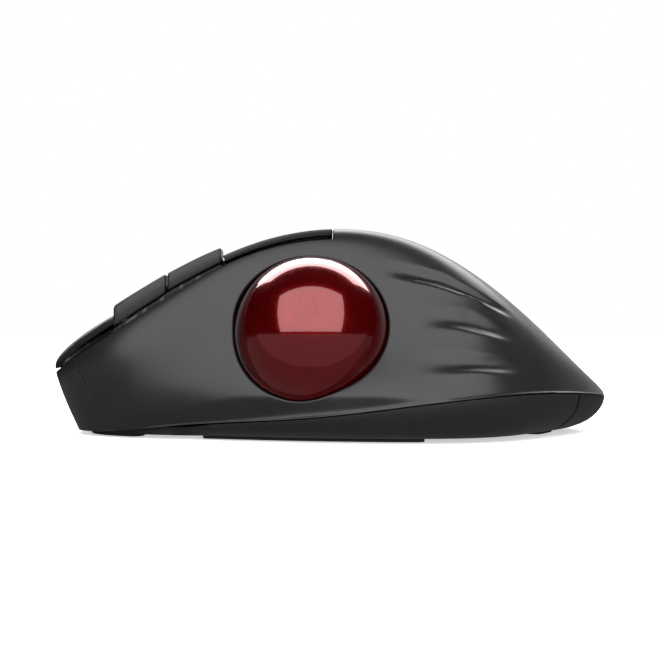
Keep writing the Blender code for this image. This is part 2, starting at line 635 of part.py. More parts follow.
def build_boards():
    """The button board with the two microswitches, the main board, and the top button."""
    panel("button_board", body, spaced(47.5, 58.5, 3), lambda s: [girth_where(s, y) for y in (-14.5, -6, 4, 14)],
          BOARD_LIFTS, ((0.02, 0.12, 0.05), 0.5))
    for name, (s, y) in (("left_microswitch", LEFT_SWITCH), ("right_microswitch", RIGHT_SWITCH)):
        box_piece(name, (-5, -2.9, -11.6), (5, 2.9, -6.2), (BLACK, 0.4), surface_frame(s, girth_where(s, y)))
    middle = sum(DPI_AT) / 2
    frame = surface_frame(middle, girth_where(middle, WHEEL.y))
    panel("dpi_button", body, spaced(DPI_AT[0] + GAP, DPI_AT[1] - GAP, 4),
          lambda s: spaced(girth_where(s, SLOT_Y[0] + GAP), girth_where(s, SLOT_Y[1] - GAP), 5),
          (0.5, -1.3), (SATIN, 0.4), origin=tuple(frame.translation))
    box_piece("dpi_switch", (-2.5, -2.5, -2.8), (2.5, 2.5, -1.8), (BLACK, 0.4), frame, 0.15)
    box_piece("main_board", (-46, -16, 5.0), (-22.4, 18, 6.6), ((0.02, 0.12, 0.05), 0.5))


def build_wheel():
    """The scroll wheel on its axle, in a carrier that presses the middle switch."""
    w = WHEEL
    half = WHEEL_WIDTH / 2
    inner = WHEEL_R - TYRE_THICK
    turned("scroll_tyre", w, (0, 1, 0), ((inner, -half), (WHEEL_R - 0.7, -half), (WHEEL_R, -half + 0.9),
           (WHEEL_R, half - 0.9), (WHEEL_R - 0.7, half), (inner, half)), ((0.02, 0.02, 0.02), 0.8), 32)
    turned("scroll_hub", w, (0, 1, 0), ((AXLE_R + 0.1, -half), (inner - 0.15, -half), (inner - 0.15, half),
           (AXLE_R + 0.1, half)), (SATIN, 0.4), 32)
    rod_piece("scroll_axle", w, (0, 1, 0), AXLE_R, 13.0, ((0.6, 0.6, 0.6), 0.3, 1.0), 20, tuple(w))
    bm = bmesh.new()
    block(bm, (w.x - 3, w.y - 6.6, 9.0), (w.x + 6, w.y + 6.6, w.z + 1.7))
    carrier = from_bmesh("wheel_carrier", bm, (BLACK, 0.5), tuple(w))
    carve(carrier, lambda b: block(b, (w.x - 20, w.y - 4.4, 10.6), (w.x + 20, w.y + 4.4, 60)))
    carve(carrier, lambda b: rod(b, w, (0, 1, 0), WHEEL_R + 0.8, 8.8, 32))
    carve(carrier, lambda b: rod(b, w, (0, 1, 0), AXLE_R + 0.1, 30, 20))
    bm = bmesh.new()
    block(bm, (w.x - 2.2, w.y + 6.9, 15.0), (w.x + 5, w.y + 9.8, w.z + 1.6), round_by=0.3)
    encoder = from_bmesh("wheel_encoder", bm, (BLACK, 0.4), tuple(w))
    carve(encoder, lambda b: rod(b, w, (0, 1, 0), AXLE_R + 0.1, 30, 20))
    box_piece("middle_switch", (w.x - 2, w.y - 3, 6.9), (w.x + 4, w.y + 3, 8.1), (BLACK, 0.4))


def turned(name, centre, axis, profile, finish, sides=32, origin=None):
    """A turned piece: a closed outline of (radius, height) points spun about an axis."""
    turn = Vector(axis).normalized().to_track_quat("Z", "Y").to_matrix().to_4x4()
    place = Matrix.Translation(centre) @ turn
    bm = bmesh.new()
    rings = [[bm.verts.new(place @ Vector((r * math.cos(a), r * math.sin(a), h)))
              for a in (2 * math.pi * k / sides for k in range(sides))] for r, h in profile]
    closing = [] if profile[0][0] == 0 == profile[-1][0] else rings[:1]
    for a, b in zip(rings, rings[1:] + closing):
        for k in range(sides):
            bm.faces.new([a[k], a[(k + 1) % sides], b[(k + 1) % sides], b[k]])
    bmesh.ops.remove_doubles(bm, verts=bm.verts, dist=0.002)
    bmesh.ops.dissolve_degenerate(bm, edges=bm.edges, dist=0.001)
    return from_bmesh(name, bm, finish, tuple(centre) if origin is None else origin)


# --- Ball, cup and sensor -------------------------------------------------------------------------
def bearing_directions():
    """Where the three bearing balls touch the ball, seen from its centre."""
    tilt = math.radians(46)
    return [Vector((math.sin(tilt) * math.cos(a), math.cos(tilt), math.sin(tilt) * math.sin(a)))
            for a in (math.radians(90 + 120 * k) for k in range(3))]


def build_ball():
    """The ball in its cup on three bearing balls, with the lens and sensor that read it."""
    bm = bmesh.new()
    bmesh.ops.create_icosphere(bm, subdivisions=4, radius=BALL_R, matrix=Matrix.Translation(BALL))
    from_bmesh("ball", bm, ((0.2, 0.003, 0.006), 0.06), tuple(BALL))

    depth = CUP_PLANE_Y - BALL.y
    outer = [(CUP_OUTER * math.sin(a), CUP_OUTER * math.cos(a))
             for a in spaced(0, math.acos(depth / CUP_OUTER), 7)]
    inner = [(CUP_INNER * math.sin(a), CUP_INNER * math.cos(a))
             for a in spaced(math.acos(depth / CUP_INNER), 0, 7)]
    cup = turned("ball_cup", BALL, (0, 1, 0), outer + inner, (BLACK, 0.4), 32)
    aim = LENS_AIM

    def stand(bm):
        block(bm, (BALL.x - 9, CUP_PLANE_Y + 0.4, BASE_Z + BASE_WALL + GAP),
              (BALL.x + 9, CUP_PLANE_Y + 3.4, 7.0))
    carve(cup, stand, "UNION")
    for direction in bearing_directions():
        carve(cup, lambda b: bmesh.ops.create_uvsphere(
            b, u_segments=14, v_segments=9, radius=BEARING_R + GAP,
            matrix=Matrix.Translation(BALL + direction * (BALL_R + GAP + BEARING_R))))
    carve(cup, lambda b: rod(b, BALL + aim * 20, aim, 3.0, 12, 20))
    for number, direction in enumerate(bearing_directions(), 1):
        bm = bmesh.new()
        at = BALL + direction * (BALL_R + GAP + BEARING_R)
        bmesh.ops.create_icosphere(bm, subdivisions=2, radius=BEARING_R, matrix=Matrix.Translation(at))
        from_bmesh("ball_bearing_%d" % number, bm, ((0.85, 0.85, 0.82), 0.15))
    rod_piece("sensor_lens", BALL + aim * 19.3, aim, 2.6, 2.6, ((0.8, 0.85, 0.9), 0.05))
    frame = Matrix.Translation(BALL) @ aim.to_track_quat("Z", "Y").to_matrix().to_4x4()
    box_piece("optical_sensor", (-3.5, -4.5, 20.95), (3.5, 4.5, 22.6), (BLACK, 0.3), frame, 0.2)
    box_piece("sensor_board", (-8, -7, 22.9), (8, 7, 24.1), ((0.02, 0.12, 0.05), 0.5), frame, 0.2)


# --- Underside ------------------------------------------------------------------------------------
def foot_piece(name, start, end, inset, width):
    """A glide foot: a strip that follows the edge of the base's flat bottom."""
    u = np.array(spaced(start, end, 13))
    edge = base_band(u, np.ones(len(u)))[:, :2]
    inward = -normals(base_band, u, np.full(len(u), 0.5), 0.02)[:, :2]
    inward /= np.linalg.norm(inward, axis=1)[:, None]
    bm = bmesh.new()
    sides = []
    for z in (0.0, FOOT_TOP):
        for depth in (inset, inset + width):
            sides.append([bm.verts.new((*p, z)) for p in edge + inward * depth])
    low_out, low_in, top_out, top_in = sides
    for a, b in ((low_out, low_in), (low_in, top_in), (top_in, top_out), (top_out, low_out)):
        for k in range(len(u) - 1):
            bm.faces.new([a[k], a[k + 1], b[k + 1], b[k]])
    for k in (0, -1):
        bm.faces.new([low_out[k], low_in[k], top_in[k], top_out[k]])
    from_bmesh(name, bm, ((0.02, 0.02, 0.02), 0.35))


def build_underside():
    """Feet, screws, battery with its door and contacts, receiver, power switch and pairing button."""
    foot_piece("front_foot", -31, 27, 1.5, 5.0)
    foot_piece("thumb_foot", 44, 101, 0.6, 3.2)
    foot_piece("pinky_foot", RING - 100, RING - 46, 0.8, 5.0)
    foot_piece("rear_foot", 150, RING - 150, 0.6, 5.0)
    for number, (x, y) in enumerate(SCREWS, 1):
        low = BASE_Z + 0.35
        turned("screw_%d" % number, (x, y, 0), (0, 0, 1), ((0, low + 0.5), (1.0, low + 0.5), (1.2, low),
               (SCREW_HEAD_R - 0.2, low), (SCREW_HEAD_R, low + 0.2), (SCREW_HEAD_R, low + 0.7),
               (SCREW_R, low + 0.7), (SCREW_R, 8.6), (0, 8.6)), ((0.3, 0.3, 0.3), 0.35, 1.0), 16)
    (x0, y0), (x1, y1) = DOOR_BOX
    box_piece("battery_door", (x0 + GAP, y0 + GAP, BASE_Z), (x1 - GAP, y1 - GAP, 2.4), (BLACK, 0.5),
              round_by=0.2, origin=(7, 17, BASE_Z))
    b = BATTERY_AT
    half = BATTERY_LEN / 2
    turned("battery_cell", b, (1, 0, 0), ((0, -half), (BATTERY_R - 0.4, -half), (BATTERY_R, -half + 0.5),
           (BATTERY_R, half - 0.6), (BATTERY_R - 0.4, half), (2.7, half), (2.7, half + 1), (0, half + 1)),
           ((0.25, 0.27, 0.3), 0.3, 0.6), 28)
    box_piece("contact_plate", (b.x + half + 1.25, b.y - 4.5, b.z - 4.5), (b.x + half + 1.75, b.y + 4.5, b.z + 4.5),
              ((0.7, 0.65, 0.5), 0.3, 1.0), round_by=0.1)
    contact_spring(b, half)
    box_piece("receiver_body", (-2.7, 6.2, 3.0), (4.5, 12.0, 15.0), (BLACK, 0.4), round_by=0.6)
    box_piece("receiver_plug", (-15.0, 6.85, 3.2), (-3.0, 11.35, 14.8), ((0.6, 0.6, 0.6), 0.3, 1.0))
    x, y = POWER_AT
    box_piece("power_knob", (x - 4.2, y - 1.75, 0.5), (x, y + 1.75, 3.4), (SATIN, 0.4), origin=(x - 2, y, 2))
    box_piece("power_switch", (x - 5, y - 2.5, 3.75), (x + 5, y + 2.5, 4.7), (BLACK, 0.4), round_by=0.15)
    x, y = PAIR_AT
    rod_piece("pairing_button", (x, y, 1.9), (0, 0, 1), 2.05, 2.6, (SATIN, 0.4), 18, (x, y, 1.9))
    box_piece("pairing_switch", (x - 2.5, y - 2.5, 3.95), (x + 2.5, y + 2.5, 4.7), (BLACK, 0.4), round_by=0.15)


def contact_spring(b, half):
    """The conical coil that bears on the battery's flat end."""
    curve = bpy.data.curves.new("contact_spring", "CURVE")
    curve.dimensions = "3D"
    curve.bevel_depth = 0.35 * MM
    curve.bevel_resolution = 1
    curve.use_fill_caps = True
    turns, per_turn = 2.5, 14
    count = int(turns * per_turn) + 1
    spline = curve.splines.new("POLY")
    spline.points.add(count - 1)
    for k in range(count):
        f = k / (count - 1)
        angle = 2 * math.pi * turns * f
        radius = 4.6 - 2.2 * f
        place = (b.x - half - 2.4 + 1.9 * f, b.y + radius * math.cos(angle), b.z + radius * math.sin(angle))
        spline.points[k].co = (*(Vector(place) * MM), 1)
    thing = bpy.data.objects.new("contact_spring", curve)
    bpy.context.scene.collection.objects.link(thing)
    curve.materials.append(material("contact_spring_finish", (0.6, 0.6, 0.6), 0.3, 1.0))


def main():
    """Clear the scene and build every piece."""
    for thing in list(bpy.data.objects):
        bpy.data.objects.remove(thing)
    build_shells()
    build_plates()
    build_side_buttons()
    build_boards()
    build_wheel()
    build_ball()
    build_underside()


main()
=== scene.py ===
"""The looks of a right-handed trackball mouse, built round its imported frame.

The nose points to -X, the palm and tail to +X, the thumb and its ball to -Y.  Lengths in the classes
below are in millimetres; meshes are written in metres.  The outside of the mouse is one smooth body
surface, and every shell, plate and button is cut from it with its own thickness and rounded edges.
"""
import logging
import math
from dataclasses import dataclass
from enum import Enum
from typing import Callable, Iterable, Optional, Sequence

import bmesh
import bpy
import numpy as np
from mathutils import Matrix, Vector


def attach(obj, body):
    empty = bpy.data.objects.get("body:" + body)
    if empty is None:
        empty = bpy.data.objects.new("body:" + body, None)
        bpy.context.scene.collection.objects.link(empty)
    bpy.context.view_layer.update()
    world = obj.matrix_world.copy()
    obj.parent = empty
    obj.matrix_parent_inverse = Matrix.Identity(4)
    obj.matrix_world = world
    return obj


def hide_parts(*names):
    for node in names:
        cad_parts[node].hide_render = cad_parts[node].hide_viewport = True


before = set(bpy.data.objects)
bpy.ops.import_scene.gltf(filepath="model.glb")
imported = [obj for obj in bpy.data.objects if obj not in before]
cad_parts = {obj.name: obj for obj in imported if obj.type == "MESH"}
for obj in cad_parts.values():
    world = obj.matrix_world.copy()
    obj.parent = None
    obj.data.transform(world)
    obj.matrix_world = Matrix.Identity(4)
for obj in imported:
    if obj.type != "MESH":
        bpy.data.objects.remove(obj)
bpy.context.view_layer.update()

log = logging.getLogger("trackball")
MM = 0.001
GAP = 0.3
Colour = tuple[float, float, float]
Point = tuple[float, float, float]
Table = tuple[tuple[float, float], ...]


# --- Shader maths --------------------------------------------------------------------------------
class Value:
    """A shader socket that takes part in Python expressions."""

    def __init__(self, graph: "Graph", socket: bpy.types.NodeSocket) -> None:
        """Keep the socket and the graph that new nodes go to."""
        self.graph = graph
        self.socket = socket

    def maths(self, operation: str, *others: "Value | float") -> "Value":
        """Apply a Math node.

        Args:
            operation: The Math node's operation.
            others: The second and third numbers, sockets or plain.

        Returns:
            The node's result.
        """
        return self.graph.node("ShaderNodeMath", {"operation": operation}, dict(enumerate((self, *others))))

    def __add__(self, other: "Value | float") -> "Value":
        """Sum."""
        return self.maths("ADD", other)

    def __sub__(self, other: "Value | float") -> "Value":
        """Difference."""
        return self.maths("SUBTRACT", other)

    def __mul__(self, other: "Value | float") -> "Value":
        """Product."""
        return self.maths("MULTIPLY", other)

    def __rsub__(self, other: float) -> "Value":
        """Difference from a plain number."""
        return self.graph.node("ShaderNodeMath", {"operation": "SUBTRACT"}, {0: other, 1: self})

    __radd__ = __add__
    __rmul__ = __mul__

    def step(self, low: float, high: float) -> "Value":
        """A smooth 0 to 1 ramp between two values.

        Args:
            low: Where the ramp starts.
            high: Where it reaches 1.

        Returns:
            The ramp's value.
        """
        settings = {"interpolation_type": "SMOOTHSTEP"}
        limits = {"Value": self, "From Min": low, "From Max": high}
        return self.graph.node("ShaderNodeMapRange", settings, limits)


class Graph:
    """The nodes of one material, round its Principled shader."""

    def __init__(self, name: str) -> None:
        """Start a material with only its Principled shader and output.

        Args:
            name: The material's name.
        """
        self.material = bpy.data.materials.new(name)
        self.material.use_nodes = True
        self.tree = self.material.node_tree
        self.shader = self.tree.nodes["Principled BSDF"]

    def node(self, kind: str, settings: dict, inputs: dict, output: "int | str" = 0) -> Value:
        """Add a node.

        Args:
            kind: The node's Blender type.
            settings: Its properties, set before its sockets.
            inputs: Numbers, colours or Values for its sockets, by name or index.
            output: The output socket wanted.

        Returns:
            That output.
        """
        made = self.tree.nodes.new(kind)
        for key, value in settings.items():
            setattr(made, key, value)
        for key, value in inputs.items():
            self.feed(made.inputs[key], value)
        return Value(self, made.outputs[output])

    def feed(self, socket: bpy.types.NodeSocket, value: "Value | float | Sequence[float]") -> None:
        """Link a Value to a socket, or set the socket's own number.

        Args:
            socket: The socket to feed.
            value: A Value to link, or the socket's own number or colour.
        """
        if isinstance(value, Value):
            self.tree.links.new(value.socket, socket)
        else:
            socket.default_value = value

    def surface(self, **inputs: "Value | float | Sequence[float]") -> None:
        """Feed the Principled shader, with underscores standing for the blanks in socket names."""
        for key, value in inputs.items():
            self.feed(self.shader.inputs[key.replace("_", " ")], value)

    def coordinates(self, stretch: Point = (1, 1, 1)) -> Value:
        """The piece's own coordinates in metres, stretched along its axes."""
        plain = self.node("ShaderNodeTexCoord", {}, {}, "Object")
        return self.node("ShaderNodeVectorMath", {"operation": "MULTIPLY"}, {0: plain, 1: stretch})

    def noise(self, size: float, detail: float = 2.0, stretch: Point = (1, 1, 1)) -> Value:
        """A noise pattern.

        Args:
            size: The width of its lumps in millimetres.
            detail: How many finer octaves it has.
            stretch: How its axes are scaled.

        Returns:
            The pattern, from 0 to 1.
        """
        inputs = {"Vector": self.coordinates(stretch), "Scale": 1 / (size * MM), "Detail": detail}
        return self.node("ShaderNodeTexNoise", {}, inputs)

    def blend(self, factor: "Value | float", first: "Value | Colour", second: "Value | Colour") -> Value:
        """A colour between two others."""
        colours = [c if isinstance(c, Value) else (*c, 1) for c in (first, second)]
        return self.node("ShaderNodeMix", {"data_type": "RGBA"}, {0: factor, 6: colours[0], 7: colours[1]}, 2)

    def bump(self, height: Value, depth: float, strength: float = 1.0) -> Value:
        """A normal from a height pattern whose full range is depth millimetres."""
        inputs = {"Height": height, "Distance": depth * MM, "Strength": strength}
        return self.node("ShaderNodeBump", {}, inputs, "Normal")


def scaled(colour: Colour, factor: float) -> Colour:
    """A colour made lighter or darker."""
    return tuple(min(1.0, c * factor) for c in colour)


# --- Finishes ------------------------------------------------------------------------------------
@dataclass(frozen=True)
class Finish:
    """What a piece is made of and how its surface was left."""

    name: str
    slot: str

    def material(self) -> bpy.types.Material:
        """The finish as a material, made once.

        Returns:
            The material.
        """
        found = bpy.data.materials.get(self.name)
        if found:
            return found
        graph = Graph(self.name)
        self.dress(graph)
        return graph.material

    def dress(self, graph: Graph) -> None:
        """Fill in the material's nodes."""
        raise NotImplementedError


@dataclass(frozen=True)
class MouldedPlastic(Finish):
    """Injection-moulded plastic with a spark-eroded grain, and sharp edges made paler as a painted highlight.
    """

    colour: Colour
    roughness: float
    grain: float = 0.35
    grain_depth: float = 0.006
    specular: float = 0.5
    # how far sharp edges are made paler: a painted highlight, not wear
    edge_highlight: float = 0.35
    coat: float = 0.0

    def dress(self, graph: Graph) -> None:
        """Colour with slow mottling and a painted highlight on sharp edges, grain in the normal, smudges in
        the roughness.

        Args:
            graph: The material's nodes.
        """
        grain = graph.noise(self.grain, 2.0)
        mottle = graph.noise(9.0, 3.0)
        smudge = graph.noise(22.0, 4.0)
        body = graph.blend(mottle, scaled(self.colour, 0.86), scaled(self.colour, 1.16))
        speckled = graph.blend(grain * 0.35, body, scaled(self.colour, 1.5))
        # Painted highlight: sharp convex edges, found by pointiness, are made paler in the base colour.
        edge = graph.node("ShaderNodeNewGeometry", {}, {}, "Pointiness").step(0.53, 0.62)
        graph.surface(Base_Color=graph.blend(edge * self.edge_highlight, speckled, scaled(self.colour, 2.2)),
                      Roughness=(smudge - 0.5) * 0.10 + (grain - 0.5) * 0.06 + self.roughness,
                      Specular_IOR_Level=self.specular, Coat_Weight=self.coat, Coat_Roughness=0.08,
                      Normal=graph.bump(grain, self.grain_depth))


@dataclass(frozen=True)
class PearlLacquer(Finish):
    """Deep translucent-looking red under a hard clear coat, with fine flakes that an optical sensor reads."""

    colour: Colour = (0.20, 0.003, 0.005)
    dark: Colour = (0.12, 0.001, 0.002)
    metallic: float = 0.85
    roughness: float = 0.19
    flake: float = 0.45

    def dress(self, graph: Graph) -> None:
        """Flakes of two reds, a broad soft gloss below and a sharp clear coat on top.

        Args:
            graph: The material's nodes.
        """
        cells = {"Vector": graph.coordinates(), "Scale": 1 / (self.flake * MM)}
        flakes = graph.node("ShaderNodeTexVoronoi", {}, cells, "Color")
        flake = graph.node("ShaderNodeSeparateColor", {}, {0: flakes})
        clouds = graph.noise(5.0, 3.0)
        wipe = graph.noise(12.0, 4.0)
        body = graph.blend(clouds * 0.5 + flake * 0.4, self.dark, self.colour)
        graph.surface(Base_Color=body, Metallic=self.metallic,
                      Roughness=(flake - 0.5) * 0.06 + self.roughness, Coat_Weight=(wipe - 0.5) * 0.04 + 0.98,
                      Coat_Roughness=0.025, Coat_IOR=1.6)


@dataclass(frozen=True)
class BrushedMetal(Finish):
    """Drawn, ground or plated metal with fine lines along one axis."""

    colour: Colour
    roughness: float
    lines: Point = (1, 12, 12)
    metallic: float = 1.0

    def dress(self, graph: Graph) -> None:
        """Lines in the roughness and normal, light tarnish in the colour.

        Args:
            graph: The material's nodes.
        """
        lines = graph.noise(1.2, 3.0, self.lines)
        tarnish = graph.noise(3.0, 4.0)
        graph.surface(Base_Color=graph.blend(tarnish, scaled(self.colour, 0.75), self.colour),
                      Metallic=self.metallic, Roughness=(lines - 0.5) * 0.2 + self.roughness,
                      Normal=graph.bump(lines, 0.01, 0.6))


@dataclass(frozen=True)
class SolderMask(Finish):
    """A green circuit board: copper tracks under solder mask, and tinned pads."""

    def dress(self, graph: Graph) -> None:
        """Straight tracks from a brick pattern, pads from cells, weave in the normal.

        Args:
            graph: The material's nodes.
        """
        tracks = graph.node("ShaderNodeTexBrick", {}, {"Vector": graph.coordinates(), "Scale": 240.0,
                            "Mortar Size": 0.035, "Color1": (0, 0, 0, 1), "Color2": (0, 0, 0, 1),
                            "Mortar": (1, 1, 1, 1)}, "Fac")
        cells = graph.node("ShaderNodeTexVoronoi", {}, {"Vector": graph.coordinates(), "Scale": 420.0})
        pads = 1 - cells.step(0.16, 0.2)
        weave = graph.noise(0.4, 1.0)
        mask = graph.blend(tracks, (0.006, 0.07, 0.022), (0.02, 0.16, 0.05))
        graph.surface(Base_Color=graph.blend(pads, mask, (0.7, 0.66, 0.55)), Metallic=pads * 0.9,
                      Roughness=(weave - 0.5) * 0.1 + 0.38, Normal=graph.bump(weave, 0.01))


@dataclass(frozen=True)
class PrintedCan(Finish):
    """A battery cell's printed sleeve over its metal can, plain bands without lettering."""

    def dress(self, graph: Graph) -> None:
        """A dark sleeve with a copper-coloured band at the positive end.

        Args:
            graph: The material's nodes.
        """
        along = graph.node("ShaderNodeSeparateXYZ", {}, {0: graph.coordinates()})
        band = along.step(0.0179, 0.0181)
        scuff = graph.noise(2.5, 4.0)
        sleeve = graph.blend(band, (0.012, 0.013, 0.016), (0.42, 0.16, 0.05))
        graph.surface(Base_Color=graph.blend(scuff * 0.15, sleeve, (0.3, 0.3, 0.3)), Metallic=0.6,
                      Roughness=(scuff - 0.5) * 0.15 + 0.32)


@dataclass(frozen=True)
class ClearPlastic(Finish):
    """A polished optical lens."""

    def dress(self, graph: Graph) -> None:
        """Clear, with faint handling haze.

        Args:
            graph: The material's nodes.
        """
        haze = graph.noise(1.5, 3.0)
        graph.surface(Base_Color=(0.86, 0.92, 0.95, 1), Roughness=haze * 0.05 + 0.02,
                      Transmission_Weight=0.9, IOR=1.5)


@dataclass(frozen=True)
class GlazedCeramic(Finish):
    """The small ceramic balls that carry the big one."""

    def dress(self, graph: Graph) -> None:
        """Warm white with a fine cloud.

        Args:
            graph: The material's nodes.
        """
        cloud = graph.noise(0.8, 3.0)
        graph.surface(Base_Color=graph.blend(cloud, (0.78, 0.75, 0.69), (0.88, 0.86, 0.81)),
                      Roughness=cloud * 0.06 + 0.08, Coat_Weight=0.5)


class Finishes(Enum):
    """Every finish on the mouse."""

    SHELL = MouldedPlastic("satin_shell", "shell_plastic", (0.007, 0.007, 0.0073), 0.31)
    PLATE = MouldedPlastic("satin_plate", "plate_plastic", (0.007, 0.007, 0.0073), 0.31)
    BASE = MouldedPlastic("matt_base", "base_plastic", (0.006, 0.006, 0.0063), 0.36)
    INNER = MouldedPlastic("inner_black", "inner_plastic", (0.006, 0.006, 0.0065), 0.6, specular=0.25,
                           edge_highlight=0.1)
    STRIP = MouldedPlastic("polished_strip", "strip_gloss", (0.008, 0.008, 0.009), 0.16, grain_depth=0.0006,
                           coat=0.6)
    CHIP = MouldedPlastic("moulded_chip", "chip_black", (0.014, 0.014, 0.015), 0.42)
    GLIDE = MouldedPlastic("glide_pad", "glide_pad", (0.009, 0.009, 0.0095), 0.3, grain=0.8, specular=0.35)
    TYRE = MouldedPlastic("tyre_rubber", "tyre_rubber", (0.012, 0.012, 0.0125), 0.72, grain=0.2,
                          grain_depth=0.02, specular=0.3)
    BALL = PearlLacquer("ball_lacquer", "ball_red")
    AXLE = BrushedMetal("ground_axle", "axle_steel", (0.62, 0.62, 0.64), 0.25, (12, 1, 12))
    SCREW = BrushedMetal("dark_screw", "screw_steel", (0.20, 0.20, 0.215), 0.34, (1, 1, 12))
    SPRING = BrushedMetal("plated_spring", "spring_steel", (0.72, 0.71, 0.69), 0.22)
    CONTACT = BrushedMetal("plated_contact", "contact_metal", (0.78, 0.70, 0.52), 0.24, (1, 12, 1))
    BOARD = SolderMask("green_board", "circuit_board")
    CELL = PrintedCan("cell_sleeve", "cell_can")
    LENS = ClearPlastic("clear_lens", "lens_clear")
    CERAMIC = GlazedCeramic("glazed_ceramic", "ceramic")


# --- The body surface ----------------------------------------------------------------------------
def spline_weights(knots: Sequence[float], samples: np.ndarray, period: float = 0.0) -> np.ndarray:
    """Rows that turn values at the knots into a smooth (C2) curve's values at the samples.

    Args:
        knots: Rising parameter values, one for each known value.
        samples: Where the curve is wanted.
        period: The length of a closed curve, or 0 for an open one.

    Returns:
        One row of weights for each sample.
    """
    knots = np.asarray(knots, float)
    samples = np.asarray(samples, float)
    count = len(knots)
    if period:
        samples = np.mod(samples, period)
    spans = np.diff(np.append(knots, knots[0] + period)) if period else np.diff(knots)
    left, right = np.zeros((count, count)), np.zeros((count, count))
    for i in range(count):
        if not period and i in (0, count - 1):
            j, k, span = (0, 1, spans[0]) if i == 0 else (count - 1, count - 2, -spans[-1])
            left[i, j], left[i, k] = 2, 1
            right[i, j], right[i, k] = -3 / span, 3 / span
            continue
        before, after = spans[i - 1], spans[i % len(spans)]
        left[i, i - 1] += after
        left[i, i] += 2 * (before + after)
        left[i, (i + 1) % count] += before
        right[i, i - 1] -= 3 * after / before
        right[i, i] += 3 * (after / before - before / after)
        right[i, (i + 1) % count] += 3 * before / after
    slopes = np.linalg.solve(left, right)
    cell = np.clip(np.searchsorted(knots, samples, side="right") - 1, 0, len(spans) - 1)
    span = spans[cell]
    f = (samples - knots[cell]) / span
    ends = np.eye(count)
    shares = (2 * f**3 - 3 * f**2 + 1, 3 * f**2 - 2 * f**3,
              (f**3 - 2 * f**2 + f) * span, (f**3 - f**2) * span)
    rows = (ends[cell], ends[(cell + 1) % count], slopes[cell], slopes[(cell + 1) % count])
    return sum(share[:, None] * row for share, row in zip(shares, rows))


TAIL_TIP: Point = (66.4, -2.0, 8.9)


